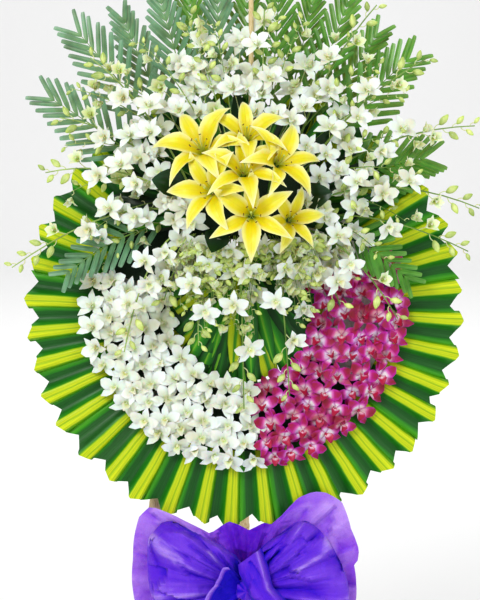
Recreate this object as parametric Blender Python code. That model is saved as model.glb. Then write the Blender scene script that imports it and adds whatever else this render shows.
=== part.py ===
"""A standing funeral wreath, in metres, +Z up, facing -Y, its origin on the floor under its middle.

A bamboo easel carries a foam ring. Striped leaves are pleated into a collar round the ring, white and
magenta orchids cover it, a fan of leaves hangs across its hole, and a spray of lilies, orchid stems and
trimmed palm fronds stands in a block of wet foam at its top. A purple bow is tied to the easel below.

Everything leans with the easel. It is modelled upright in the wreath's own frame, with x to the right,
y to the back and z up from the ring's centre, and is parented to one leaning empty. A depth is how far
a thing lies in front of the ring's back.
"""

import math
import random

import bmesh
import bpy
from mathutils import Matrix, Vector

# Driving sizes
LEAN = math.radians(10)
CENTRE_HEIGHT = 1.0
CENTRE_SETBACK = -0.127
GAP = 0.0003

RING_INNER = 0.150
RING_OUTER = 0.300
RING_DEPTH = 0.030

COLLAR_LEAVES = 40
COLLAR_ARCS = 4
COLLAR_ROOT = 0.2885
COLLAR_TIP = 0.436
COLLAR_NOTCH = 0.414
PLEAT = 0.009
LEAF_THICKNESS = 0.0010

BAND_INNER = 0.158
BAND_OUTER = 0.285
BAND_FRONT = 0.054
BAND_BLOOM = 0.0295
BLOOM_SPACING = 0.054

FOAM_HALF_WIDTH = 0.110
FOAM_BOTTOM = 0.140
FOAM_TOP = 0.262
FOAM_FRONT = 0.150
PEG_DEPTH = 0.022

SPRAY_BLOOM = 0.030
PALM_THICKNESS = 0.0014
TEPAL_THICKNESS = 0.0014

POLE_RADIUS = 0.0125
POLE_SWELL = 1.13
BAR_RADIUS = 0.009
STAKE_RADIUS = 0.005
STAKE_DEPTH = 0.060
FOOT_SPREAD = 0.270
LEG_TOP_SPREAD = 0.070
LEG_TOP = 0.360
UPPER_BAR = 0.285
REAR_REACH = 0.505

BOW_X = 0.004
BOW_Z = -0.556
KNOT_RADIUS = 0.022
KNOT_BACK = 0.0170
KNOT_FRONT = 0.118
CLOTH = 0.0016

UP = Vector((0, 0, 1))
FRONT = Vector((0, -1, 0))


def clear_scene():
    for old in list(bpy.data.objects):
        bpy.data.objects.remove(old)


def finish(name, hex_colour, roughness, metallic=0.0):
    """A Principled material of one sRGB colour."""
    made = bpy.data.materials.new(name)
    made.use_nodes = True
    shader = made.node_tree.nodes["Principled BSDF"]
    parts = [int(hex_colour[i : i + 2], 16) / 255 for i in (0, 2, 4)]
    linear = [c / 12.92 if c <= 0.04045 else ((c + 0.055) / 1.055) ** 2.4 for c in parts]
    shader.inputs["Base Color"].default_value = (*linear, 1)
    shader.inputs["Roughness"].default_value = roughness
    shader.inputs["Metallic"].default_value = metallic
    return made


clear_scene()
BAMBOO = finish("peeled bamboo", "D9C69A", 0.55)
FOAM_WHITE = finish("polystyrene foam", "ECEDE8", 0.8)
FOAM_GREEN = finish("wet floral foam", "2F5B3A", 0.95)
STRIPED_LEAF = finish("striped dracaena leaf", "5E9A1E", 0.35)
PALM = finish("palm leaflet", "3F7D2E", 0.45)
DARK_LEAF = finish("dark broad leaf", "1F4D22", 0.3)
WHITE_ORCHID = finish("white orchid petal", "F3F1E6", 0.5)
MAGENTA_ORCHID = finish("magenta orchid petal", "C5147F", 0.5)
YELLOW_LILY = finish("yellow lily petal", "F2DC1E", 0.45)
PURPLE_CLOTH = finish("purple non-woven cloth", "5B22C8", 0.6)

# The leaning frame of the wreath
wreath_axis = bpy.data.objects.new("wreath_axis", None)
bpy.context.scene.collection.objects.link(wreath_axis)
wreath_axis.location = (0, CENTRE_SETBACK, CENTRE_HEIGHT)
wreath_axis.rotation_euler = (-LEAN, 0, 0)


def node(name, solid, material, smooth=False):
    """One named object in the wreath's frame, from a solid's points and faces."""
    mesh = bpy.data.meshes.new(name)
    mesh.from_pydata([tuple(v) for v in solid[0]], [], solid[1])
    shaped = bmesh.new()
    shaped.from_mesh(mesh)
    bmesh.ops.recalc_face_normals(shaped, faces=shaped.faces)
    shaped.to_mesh(mesh)
    shaped.free()
    mesh.materials.append(material)
    if smooth:
        mesh.shade_smooth()
        mesh.set_sharp_from_angle(angle=math.radians(40))
    made = bpy.data.objects.new(name, mesh)
    bpy.context.scene.collection.objects.link(made)
    made.parent = wreath_axis
    return made


def combine(host, solids, operation, solver):
    """Join closed solids to a host, or cut them out of it, with one Boolean on a collection."""
    extras = bpy.data.collections.new(host.name + "_pieces")
    bpy.context.scene.collection.children.link(extras)
    for solid in solids:
        piece = node("piece", solid, host.data.materials[0])
        bpy.context.scene.collection.objects.unlink(piece)
        extras.objects.link(piece)
    change = host.modifiers.new("combine", "BOOLEAN")
    change.operation = operation
    change.operand_type = "COLLECTION"
    change.collection = extras
    change.solver = solver
    bpy.context.view_layer.update()
    result = host.evaluated_get(bpy.context.evaluated_depsgraph_get())
    host_mesh = bpy.data.meshes.new_from_object(result)
    host.modifiers.clear()
    host.data = host_mesh
    for piece in list(extras.objects):
        bpy.data.objects.remove(piece)
    bpy.data.collections.remove(extras)


def fuse(name, solids, material):
    """One node from overlapping closed solids. The exact solver leaves scraps where thin ones cross."""
    combine(node(name, solids[0], material), solids[1:], "UNION", "MANIFOLD")


def thicken(points, faces, thickness):
    """A closed thin blade round a surface. Its quads are split alike on both sides, so the sides never cross."""
    faces = [[face[0], face[i], face[i + 1]] for face in faces for i in range(1, len(face) - 1)]
    surface = bmesh.new()
    placed = [surface.verts.new(p) for p in points]
    for face in faces:
        surface.faces.new([placed[i] for i in face])
    surface.normal_update()
    surface.verts.index_update()
    half = thickness / 2
    verts = [v.co + v.normal * half for v in placed] + [v.co - v.normal * half for v in placed]
    count = len(placed)
    solid = [list(face) for face in faces]
    solid += [[i + count for i in reversed(face)] for face in faces]
    for edge in surface.edges:
        if len(edge.link_loops) == 1:
            loop = edge.link_loops[0]
            a, b = loop.vert.index, loop.link_loop_next.vert.index
            solid.append([b, a, a + count, b + count])
    surface.free()
    return verts, solid


def across(direction):
    """A unit vector square to a direction."""
    helper = UP if abs(direction.z) < 0.9 else Vector((1, 0, 0))
    return direction.cross(helper).normalized()


def loft(rings):
    """Faces between rings of point numbers, closed at both ends. A ring of one number is a tip."""
    faces = []
    for low, high in zip(rings, rings[1:]):
        count = max(len(low), len(high))
        for k in range(count):
            n = (k + 1) % count
            if len(low) == 1:
                faces.append([low[0], high[n], high[k]])
            elif len(high) == 1:
                faces.append([low[k], low[n], high[0]])
            else:
                faces.append([low[k], low[n], high[n], high[k]])
    faces += [list(ring) for ring in (rings[0], rings[-1]) if len(ring) > 1]
    return faces


def tube(path, radii, sides):
    """A closed tube through points, with its own radius at each. A radius of 0 at an end makes a tip."""
    verts, rings = [], []
    side = across((path[1] - path[0]).normalized())
    for i, point in enumerate(path):
        before, after = path[max(i - 1, 0)], path[min(i + 1, len(path) - 1)]
        along = (after - before).normalized()
        side = (side - along * side.dot(along)).normalized()
        rise = side.cross(along)
        first = len(verts)
        for k in range(sides if radii[i] else 1):
            turn = 2 * math.pi * k / sides
            verts.append(point + (side * math.cos(turn) + rise * math.sin(turn)) * radii[i])
        rings.append(range(first, len(verts)))
    return verts, loft(rings)


def box(low, high):
    """A plain block between two corners."""
    verts = [Vector((x, y, z)) for x in (low.x, high.x) for y in (low.y, high.y) for z in (low.z, high.z)]
    faces = [[0, 1, 3, 2], [4, 6, 7, 5], [0, 4, 5, 1], [2, 3, 7, 6], [0, 2, 6, 4], [1, 5, 7, 3]]
    return verts, faces


def bezier(start, control, end, t):
    """The point of a quadratic curve at t, from 0 to 1."""
    return start * (1 - t) ** 2 + control * 2 * t * (1 - t) + end * t * t


def on_disc(radius, angle, depth):
    """A point of the ring's plane by its polar place, at a depth."""
    return Vector((radius * math.cos(angle), -depth, radius * math.sin(angle)))


# Easel: peeled bamboo poles, two in front and one behind, with two crossbars
LEG_PLANE = POLE_RADIUS * POLE_SWELL + GAP
UPPER_BAR_PLANE = LEG_PLANE + POLE_RADIUS + BAR_RADIUS + GAP
LOWER_BAR_PLANE = LEG_PLANE - POLE_RADIUS - BAR_RADIUS - GAP


def floor_height(y):
    """The floor's z in the wreath's frame, at a place y."""
    return (y * math.sin(LEAN) - CENTRE_HEIGHT) / math.cos(LEAN)


FOOT_Z = floor_height(LEG_PLANE)


def leg_x(z):
    """How far the front legs stand from the middle at a height."""
    return LEG_TOP_SPREAD + (FOOT_SPREAD - LEG_TOP_SPREAD) * (LEG_TOP - z) / (LEG_TOP - FOOT_Z)


def bamboo_pole(name, top, foot, joints):
    """A pole from top to foot, cut flat at the floor, with a swollen joint at each share in joints."""
    sides = 8
    joint_reach = 0.007
    along = (foot - top).normalized()
    length = (foot - top).length
    side = across(along)
    rise = side.cross(along)
    turns = [k * math.tau / sides for k in range(sides)]
    around = [side * math.cos(turn) + rise * math.sin(turn) for turn in turns]
    stations = [(0, 1)]
    for share in joints:
        middle = share * length
        stations += [(middle - joint_reach, 1), (middle, POLE_SWELL), (middle + joint_reach, 1)]
    verts = [top + along * at + turn * POLE_RADIUS * swell for at, swell in stations for turn in around]
    slope = along.z - along.y * math.tan(LEAN)
    for turn in around:
        start = top + turn * POLE_RADIUS
        verts.append(start + along * (floor_height(start.y) - start.z) / slope)
    rings = [range(first, first + sides) for first in range(0, len(verts), sides)]
    node(name, (verts, loft(rings)), BAMBOO, smooth=True)


def build_easel():
    for side, name in ((-1, "front_leg_left"), (1, "front_leg_right")):
        top = Vector((side * LEG_TOP_SPREAD, LEG_PLANE, LEG_TOP))
        foot = Vector((side * FOOT_SPREAD, LEG_PLANE, FOOT_Z))
        bamboo_pole(name, top, foot, (0.10, 0.36))

    overhang = 0.045
    for name, height, plane in (
        ("upper_crossbar", UPPER_BAR, UPPER_BAR_PLANE),
        ("lower_crossbar", BOW_Z, LOWER_BAR_PLANE),
    ):
        reach = leg_x(height) + (overhang if height > 0 else POLE_RADIUS)
        ends = [Vector((side * reach, plane, height)) for side in (-1, 1)]
        node(name, tube(ends, [BAR_RADIUS] * 2, 8), BAMBOO, smooth=True)

    foot_y = REAR_REACH * math.cos(LEAN) + CENTRE_HEIGHT * math.sin(LEAN)
    foot = Vector((0, foot_y, floor_height(foot_y)))
    above_bar = 0.030
    at_bar = Vector((0, UPPER_BAR_PLANE, UPPER_BAR))
    for _ in range(3):
        along = (foot - at_bar).normalized()
        at_bar.y = UPPER_BAR_PLANE + (POLE_RADIUS + BAR_RADIUS + GAP) / abs(along.z)
    top = at_bar - along * above_bar
    bamboo_pole("rear_leg", top, foot, (0.30, 0.66))


# Foam ring that carries the flowers
def build_ring():
    bevel = 0.008
    around = 30
    section = [
        (RING_INNER, bevel),
        (RING_INNER + bevel, 0),
        (RING_OUTER - bevel, 0),
        (RING_OUTER, bevel),
        (RING_OUTER, RING_DEPTH),
        (RING_INNER, RING_DEPTH),
    ]
    size = len(section)
    verts, faces = [], []
    for i in range(around):
        verts += [on_disc(radius, i * math.tau / around, depth) for radius, depth in section]
    for i in range(around):
        here, there = i * size, (i + 1) % around * size
        for k in range(size):
            n = (k + 1) % size
            faces.append([here + k, here + n, there + n, there + k])
    node("foam_ring", (verts, faces), FOAM_WHITE)


# Leaf collar: striped leaves folded into pleats, their yellow middles forward and their green edges back
def build_collar():
    per_arc = COLLAR_LEAVES // COLLAR_ARCS
    leaf_angle = math.tau / COLLAR_LEAVES
    slit = 0.0006 / COLLAR_ROOT
    root_depth, tip_depth = RING_DEPTH + GAP + LEAF_THICKNESS * 1.2, RING_DEPTH - 0.005
    for arc in range(COLLAR_ARCS):
        start = math.pi / 4 + arc * per_arc * leaf_angle
        end = start + per_arc * leaf_angle
        columns = [(start + slit, 0)]
        for leaf in range(per_arc):
            valley = start + leaf * leaf_angle
            if leaf:
                columns.append((valley, 0))
            columns += [(valley + leaf_angle * 0.30, 1), (valley + leaf_angle * 0.70, 1)]
        columns.append((end - slit, 0))
        points, faces = [], []
        for angle, crest in columns:
            outer = COLLAR_TIP if crest else COLLAR_NOTCH
            points.append(on_disc(COLLAR_ROOT, angle, root_depth + PLEAT * crest))
            points.append(on_disc(outer, angle, tip_depth + 2 * PLEAT * crest))
        for i in range(len(columns) - 1):
            a = 2 * i
            faces += [[a, a + 1, a + 3], [a, a + 3, a + 2]]
        node(f"leaf_collar_{arc + 1}", thicken(points, faces, LEAF_THICKNESS), STRIPED_LEAF)


# Orchid bloom: three pointed sepals between two broad petals, as (degrees, share of the bloom's radius)
BLOOM_OUTLINE = (
    (58, 0.38), (90, 1.0), (122, 0.38), (141, 0.97), (172, 0.97), (200, 0.38),
    (232, 1.0), (270, 0.32), (308, 1.0), (340, 0.38), (8, 0.97), (39, 0.97),
)


def face_on(facing, roll):
    """Right, up and forward unit vectors of a flower that faces a direction, turned by roll about it."""
    forward = facing.normalized()
    up = Matrix.Rotation(roll, 3, forward) @ (UP - forward * UP.dot(forward)).normalized()
    return forward.cross(up) * -1, up, forward


def orchid(centre, facing, roll, radius, root):
    """A closed bloom. Its middle rises into the lip, and its back narrows to root."""
    right, up, forward = face_on(facing, roll)
    verts = []
    for degrees, reach in BLOOM_OUTLINE:
        turn = math.radians(degrees)
        verts.append(centre + (right * math.cos(turn) + up * math.sin(turn)) * reach * radius)
    count = len(verts)
    verts += [centre + (forward * 0.26 - up * 0.12) * radius, root]
    faces = []
    for i in range(count):
        n = (i + 1) % count
        faces += [[i, n, count], [n, i, count + 1]]
    return verts, faces


# Orchid band: a padded half ring packed with blooms, white on the left and magenta on the right
BAND_ROWS = ((0.171, -20, 0.061), (0.213, -6, 0.066), (0.256, 8, 0.065), (0.298, 20, 0.060))


def band_blooms(start, end, rng):
    """Blooms of one arc of the band, row by row, each row starting half a bloom further round."""
    made = []
    edge, root_depth = 0.012, 0.045
    for row, (radius, tilt, depth) in enumerate(BAND_ROWS):
        count = round((end - start) * radius / BLOOM_SPACING)
        for i in range(count):
            stagger = 0.3 if row % 2 else 0.7
            angle = start + (end - start) * (i + stagger) / count + rng.uniform(-0.02, 0.02)
            turn = math.radians(tilt + rng.uniform(-6, 6))
            facing = FRONT * math.cos(turn) + on_disc(1, angle, 0) * math.sin(turn)
            facing += on_disc(1, angle + math.pi / 2, 0) * rng.uniform(-0.10, 0.10)
            centre = on_disc(radius + rng.uniform(-0.002, 0.002), angle, depth + rng.uniform(-0.001, 0.003))
            root_radius = min(max(radius, BAND_INNER + edge), BAND_OUTER - edge)
            root = on_disc(root_radius, angle, root_depth)
            made.append(orchid(centre, facing, rng.uniform(-0.5, 0.5), BAND_BLOOM, root))
    return made


def band_pad(start, end):
    """The padded arc that the blooms are pinned to."""
    back, edge, slope = RING_DEPTH + GAP, 0.044, 0.020
    section = [
        (BAND_INNER, back),
        (BAND_INNER, edge),
        (BAND_INNER + slope, BAND_FRONT),
        (BAND_OUTER - slope, BAND_FRONT),
        (BAND_OUTER, edge),
        (BAND_OUTER, back),
    ]
    steps = 4
    size = len(section)
    verts = []
    for i in range(steps + 1):
        verts += [on_disc(radius, start + (end - start) * i / steps, depth) for radius, depth in section]
    rings = [range(first, first + size) for first in range(0, len(verts), size)]
    return verts, loft(rings)


def build_band():
    arcs = (
        ("white_orchid_band_upper", 165, 222, WHITE_ORCHID),
        ("white_orchid_band_lower", 222, 276, WHITE_ORCHID),
        ("magenta_orchid_band_lower", 276, 328, MAGENTA_ORCHID),
        ("magenta_orchid_band_upper", 328, 380, MAGENTA_ORCHID),
    )
    rng = random.Random(21)
    slit = 0.35
    inset = 0.075
    for name, start, end, material in arcs:
        low, high = math.radians(start + slit), math.radians(end - slit)
        fuse(name, [band_pad(low, high)] + band_blooms(low + inset, high - inset, rng), material)


# Foam block: wet floral foam that every stem stands in. Each stem leaves a plain hole for it here.
stem_holes = []


def planted(path, radii, sides):
    """A stem through points, from the foam's face on, with its peg in the foam."""
    direction = (path[1] - path[0]).normalized()
    inner = path[0] - direction * PEG_DEPTH
    wider = radii[0] + GAP / math.cos(math.pi / sides)
    clear_of_face = 0.030
    hole = [inner - direction * GAP, path[0] + direction * clear_of_face]
    stem_holes.append(tube(hole, [wider] * 2, sides))
    return tube([inner, *path], [radii[0], *radii], sides)


def slot_for(inner, outer, half_width, thickness):
    """The hole for a flat stalk that lies edge on to the side, from inner, inside the foam, to outer."""
    along = (outer - inner).normalized()
    side = along.cross(FRONT).normalized() * (half_width + GAP)
    rise = along.cross(side).normalized() * (thickness / 2 + GAP)
    corners = [side + rise, side - rise, -side - rise, rise - side]
    verts = [inner - along * GAP + c for c in corners] + [outer + c for c in corners]
    stem_holes.append((verts, loft([range(4), range(4, 8)])))


# Leaf fan: striped leaves that hang from under the foam block across the ring's hole
def build_fan():
    hub = Vector((0, 0, 0.118))
    hub_radius, reach, notch_share = 0.034, RING_INNER - 0.006, 0.62
    depth, fold = 0.0435, 0.005
    half_tab, tab_top = 0.036, FOAM_BOTTOM + PEG_DEPTH
    leaves = 13
    spread = math.radians(164)
    first_angle = math.pi + math.radians(8)

    def at(angle, share, depth_here):
        direction = Vector((math.cos(angle), 0, math.sin(angle)))
        along = -hub.z * direction.z
        length = along + math.sqrt(along**2 + reach**2 - hub.z**2)
        point = hub + direction * (hub_radius + (length - hub_radius) * share)
        return Vector((point.x, -depth_here, point.z))

    points = [Vector((side * half_tab, -depth, tab_top)) for side in (-1, 1)] + [hub + FRONT * depth]
    faces = [[0, 2, 1]]
    # (share of the leaf's length, place across it, share of the fold) of base, ridge, edges and tip
    leaf_points = ((0, 0.5, 0.3), (0.55, 0.5, 1), (0.93, 0.28, 0.5), (0.93, 0.72, 0.5), (1, 0.5, 1))
    leaf_angle = spread / leaves
    for leaf in range(leaves + 1):
        valley = first_angle + leaf * leaf_angle
        points += [at(valley, 0, depth), at(valley, notch_share, depth - fold * 0.5)]
        if leaf == leaves:
            break
        for share, across_leaf, lift in leaf_points:
            points.append(at(valley + leaf_angle * across_leaf, share, depth + fold * lift))
    per_leaf = 7
    for leaf in range(leaves):
        low, notch, base, ridge, left, right, tip = range(3 + leaf * per_leaf, 3 + (leaf + 1) * per_leaf)
        next_low, next_notch = low + per_leaf, notch + per_leaf
        faces += [[2, low, base], [2, base, next_low]]
        faces += [[low, notch, ridge, base], [base, ridge, next_notch, next_low]]
        faces += [[notch, left, tip, ridge], [ridge, tip, right, next_notch]]
    faces += [[0, 3, 2], [1, 2, 3 + leaves * per_leaf]]
    node("leaf_fan", thicken(points, faces, LEAF_THICKNESS), STRIPED_LEAF)
    reach_out = Vector((half_tab + GAP, LEAF_THICKNESS * 0.6 + GAP, 0))
    low = Vector((0, -depth, FOAM_BOTTOM - 0.01)) - reach_out
    high = Vector((0, -depth, tab_top + GAP)) + reach_out
    stem_holes.append(box(low, high))


# Palm frond: leaflets cut to the rib in one thin arched blade, trimmed shorter towards the tip
def frond(name, root, control, tip, longest, leaflet_angle, bare):
    """longest is the longest leaflet, leaflet_angle its angle to the rib, bare the rib's bare share."""
    pairs = 9
    stalk_half, rib_half = 0.0032, 0.0014
    shortening, first_leaflet, droop, end_width = 0.72, 0.55, 0.045, 0.30
    start = (control - root).normalized()
    spine = [root - start * PEG_DEPTH, root, bezier(root, control, tip, bare * 0.5)]
    stalk = len(spine)
    spine += [bezier(root, control, tip, bare + (1 - bare) * i / pairs) for i in range(pairs + 1)]
    points, faces, sides = [], [], []
    for i, point in enumerate(spine):
        along = (spine[min(i + 1, len(spine) - 1)] - spine[max(i - 1, 0)]).normalized()
        side = along.cross(FRONT).normalized()
        width = stalk_half + (rib_half - stalk_half) * max(i - stalk, 0) / pairs
        points += [point - side * width, point + side * width]
        sides.append((along, side))
    for i in range(len(spine) - 1):
        a = 2 * i
        faces += [[a, a + 1, a + 3], [a, a + 3, a + 2]]
    for i in range(pairs):
        share = i / (pairs - 1)
        length = longest * (1 - shortening * share) * (first_leaflet if i == 0 else 1)
        at = stalk + i
        along, side = sides[at]
        for hand, edge in ((-1, 0), (1, 1)):
            heading = along * math.cos(leaflet_angle) + side * hand * math.sin(leaflet_angle)
            near, far = 2 * at + edge, 2 * at + edge + 2
            end = (points[near] + points[far]) / 2 + heading * length - FRONT * droop * length
            half_end = (points[far] - points[near]) * end_width
            first = len(points)
            points += [end - half_end, end + half_end]
            ring = [near, first, first + 1, far]
            faces.append(ring if hand > 0 else ring[::-1])
    node(name, thicken(points, faces, PALM_THICKNESS), PALM)
    slot_for(spine[0], spine[1] + start * 0.03, stalk_half, PALM_THICKNESS)


def build_fronds():
    left, right, top = -FOAM_HALF_WIDTH, FOAM_HALF_WIDTH, FOAM_TOP
    full = (0.115, math.radians(48), 0.30)
    tall = (0.100, math.radians(40), 0.30)
    hanging = (0.086, math.radians(50), 0.24)
    # name, root, control, tip, cut; each tip is where the photograph shows it
    table = (
        ("frond_top_left", (-0.075, -0.074, top), (-0.12, -0.080, 0.46), (-0.165, -0.060, 0.610), tall),
        ("frond_top_mid_left", (-0.030, -0.056, top), (-0.045, -0.060, 0.47), (-0.055, -0.040, 0.630), tall),
        ("frond_top_mid_right", (0.040, -0.074, top), (0.060, -0.080, 0.47), (0.070, -0.062, 0.630), tall),
        ("frond_top_right", (0.085, -0.056, top), (0.145, -0.062, 0.45), (0.205, -0.046, 0.605), tall),
        ("frond_left_high", (left, -0.058, 0.245), (-0.22, -0.064, 0.43), (-0.325, -0.060, 0.545), full),
        ("frond_left", (left, -0.074, 0.215), (-0.24, -0.082, 0.33), (-0.378, -0.078, 0.415), full),
        ("frond_right_high", (right, -0.074, 0.240), (0.21, -0.082, 0.40), (0.322, -0.078, 0.492), full),
        ("frond_right", (right, -0.058, 0.210), (0.24, -0.064, 0.28), (0.352, -0.060, 0.300), full),
        ("frond_left_low", (left, -0.074, 0.170), (-0.23, -0.100, 0.172), (-0.345, -0.104, 0.075), hanging),
        ("frond_right_low", (right, -0.074, 0.165), (0.21, -0.100, 0.165), (0.318, -0.104, 0.065), hanging),
    )
    for name, root, control, tip, cut in table:
        frond(name, Vector(root), Vector(control), Vector(tip), *cut)


# Orchid spray: an arching stem that carries open blooms and then closed buds
def spray(name, root, control, tip, blooms, buds, rng):
    stations = 6
    thick, thin = 0.0023, 0.0010
    path = [bezier(root, control, tip, i / (stations - 1)) for i in range(stations)]
    radii = [thick + (thin - thick) * i / (stations - 1) for i in range(stations)]

    def on_stem(t):
        at = min(int(t * (stations - 1)), stations - 2)
        return path[at].lerp(path[at + 1], t * (stations - 1) - at), (path[at + 1] - path[at]).normalized()

    solids = [planted(path, radii, 3)]
    first_bloom, last_bloom, last_bud = 0.34, 0.76, 0.985
    middle_of_foam = Vector((0, 0, 0.20))
    flowers = blooms + buds
    for i in range(flowers):
        if i < blooms:
            t = first_bloom + (last_bloom - first_bloom) * i / max(blooms - 1, 1)
        else:
            t = last_bloom + (last_bud - last_bloom) * (i - blooms + 1) / buds
        point, along = on_stem(t)
        side = along.cross(FRONT).normalized() * (1 if i % 2 else -1)
        if i < blooms:
            outward = Vector((point.x, 0, point.z)) - middle_of_foam
            facing = FRONT + outward.normalized() * 0.38 + side * 0.30 + UP * rng.uniform(-0.1, 0.15)
            centre = point + side * 0.013 + FRONT * 0.015 + along * 0.004
            solids.append(orchid(centre, facing, rng.uniform(-0.45, 0.45), SPRAY_BLOOM, point))
        else:
            size = 1.0 - 0.5 * (i - blooms) / buds
            heading = (side * 0.66 + along * 0.66 + FRONT * 0.28).normalized() * 0.034 * size
            swell = point + heading * 0.62
            solids.append(tube([point - heading * 0.04, swell, point + heading], [0, 0.0062 * size, 0], 3))
    fuse(name, solids, WHITE_ORCHID)


def build_sprays():
    left, right, top, low = -FOAM_HALF_WIDTH, FOAM_HALF_WIDTH, FOAM_TOP, FOAM_BOTTOM
    near, far = -0.122, -0.094
    # name, root, control, tip, blooms, buds; each tip is where the photograph shows it
    table = (
        ("spray_top", (0.034, near, top), (0.035, -0.165, 0.43), (0.040, -0.135, 0.590), 3, 3),
        ("spray_top_left", (-0.060, far, top), (-0.075, -0.125, 0.45), (-0.110, -0.110, 0.580), 4, 2),
        ("spray_top_right", (0.090, far, top), (0.130, -0.125, 0.45), (0.262, -0.120, 0.600), 4, 4),
        ("spray_right_high", (right, near, 0.245), (0.190, -0.160, 0.40), (0.362, -0.145, 0.494), 4, 4),
        ("spray_right_upper", (right, far, 0.222), (0.250, -0.125, 0.355), (0.456, -0.115, 0.362), 4, 5),
        ("spray_right_middle", (right, near, 0.198), (0.260, -0.165, 0.280), (0.462, -0.140, 0.198), 4, 5),
        ("spray_right_lower", (right, far, 0.178), (0.250, -0.135, 0.210), (0.442, -0.120, 0.114), 3, 5),
        ("spray_right_hanging", (right, near, 0.158), (0.200, -0.175, 0.150), (0.302, -0.135, -0.018), 3, 4),
        ("spray_left_high", (left, near, 0.248), (-0.190, -0.158, 0.41), (-0.302, -0.140, 0.494), 4, 4),
        ("spray_left_upper", (left, far, 0.230), (-0.230, -0.125, 0.36), (-0.364, -0.115, 0.378), 4, 3),
        ("spray_left_middle", (left, near, 0.208), (-0.240, -0.165, 0.30), (-0.390, -0.140, 0.268), 4, 4),
        ("spray_left_lower", (left, far, 0.188), (-0.240, -0.135, 0.235), (-0.458, -0.120, 0.082), 4, 6),
        ("spray_left_hanging", (left, near, 0.16), (-0.192, -0.172, 0.138), (-0.236, -0.126, -0.084), 4, 4),
        ("spray_mid_left_hanging", (-0.068, near, low), (-0.096, -0.184, 0.09), (-0.090, -0.114, -0.072), 3, 4),
        ("spray_mid_hanging", (-0.010, near, low), (-0.006, -0.190, 0.09), (0.000, -0.100, -0.198), 3, 5),
        ("spray_mid_right_hanging", (0.055, near, low), (0.074, -0.185, 0.09), (0.09, -0.105, -0.172), 3, 5),
        ("spray_under_lilies", (0.098, far, low), (0.150, -0.150, 0.10), (0.190, -0.118, 0.010), 3, 2),
        ("spray_beside_lilies", (-0.095, far, low), (-0.135, -0.150, 0.10), (-0.158, -0.110, 0.018), 2, 2),
    )
    rng = random.Random(5)
    for name, root, control, tip, blooms, buds in table:
        spray(name, Vector(root), Vector(control), Vector(tip), blooms, buds, rng)


# Lily: six tepals that flare from a throat and curl back, with a tuft of stamens
def lily(base, facing, roll, scale):
    """The closed solids of one lily: its tepals as one star, its stem from the foam, and its stamens."""
    right, up, forward = face_on(facing, roll)

    def at(outward, spread, rise):
        return base + (outward * spread + forward * rise) * scale

    points, faces = [base], []
    for k in range(6):
        turn, between = math.radians(60 * k), math.radians(60 * k + 30)
        outward = right * math.cos(turn) + up * math.sin(turn)
        sideways = forward.cross(outward)
        points.append(at(right * math.cos(between) + up * math.sin(between), 0.013, 0.026))
        points.append(at(outward, 0.015, 0.028))
        half = 0.0175 if k % 2 else 0.0125
        for spread, rise, width in ((0.040, 0.046, 1.0), (0.063, 0.050, 0.82)):
            middle = at(outward, spread, rise)
            edge = sideways * half * width * scale
            lift = forward * 0.28 * half * width * scale
            points += [middle - edge + lift, middle, middle + edge + lift]
        points.append(at(outward, 0.084, 0.040))
    per_tepal = 9
    for k in range(6):
        own = 1 + per_tepal * k
        notch_before, notch_after = 1 + per_tepal * ((k - 1) % 6), own
        rib, low_a, low, low_b, high_a, high, high_b, tip = range(own + 1, own + per_tepal)
        faces += [[0, notch_before, rib], [0, rib, notch_after]]
        faces += [[notch_before, low_a, low, rib], [rib, low, low_b, notch_after]]
        faces += [[low_a, high_a, high, low], [low, high, high_b, low_b]]
        faces += [[high_a, tip, high], [high, tip, high_b]]
    root = Vector((base.x * 0.8, -FOAM_FRONT, FOAM_BOTTOM + 0.018 + (base.z - LOWEST_LILY) * 0.54))
    stem = planted([root, base - forward * 0.003, base + forward * 0.012], [0.0034, 0.0048, 0.0070], 4)
    tuft = tube([base + forward * 0.004, base + forward * 0.052 * scale], [0.0014, 0.0046], 3)
    return [thicken(points, faces, TEPAL_THICKNESS), stem, tuft]


LOWEST_LILY = 0.186


def lily_place(x, z, forward):
    """The base of a lily's throat on the dome of lilies, and the way it faces."""
    dome, dome_radius = Vector((0.008, -0.090, 0.258)), 0.150
    offset = Vector((x - dome.x, 0, z - dome.z))
    facing = Vector((offset.x, -math.sqrt(dome_radius**2 - offset.length_squared), offset.z)).normalized()
    return dome + facing * (dome_radius + forward), facing


def build_lilies():
    # name, sideways and upwards place of the throat, roll in degrees, scale, how far it stands forward
    table = (
        ("lily_upper_left", -0.082, 0.314, 36, 0.99, 0.0),
        ("lily_upper", 0.004, 0.346, 30, 0.99, 0.0),
        ("lily_right", 0.082, 0.290, 0, 0.99, 0.012),
        ("lily_centre", 0.008, 0.262, 0, 0.99, 0.0),
        ("lily_left", -0.060, 0.232, 24, 0.99, 0.012),
        ("lily_lower", 0.014, LOWEST_LILY, 0, 0.99, 0.012),
        ("lily_lower_right", 0.088, 0.196, 6, 0.80, 0.0),
    )
    for name, x, z, roll, scale, forward in table:
        base, facing = lily_place(x, z, forward)
        fuse(name, lily(base, facing, math.radians(roll), scale), YELLOW_LILY)


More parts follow.
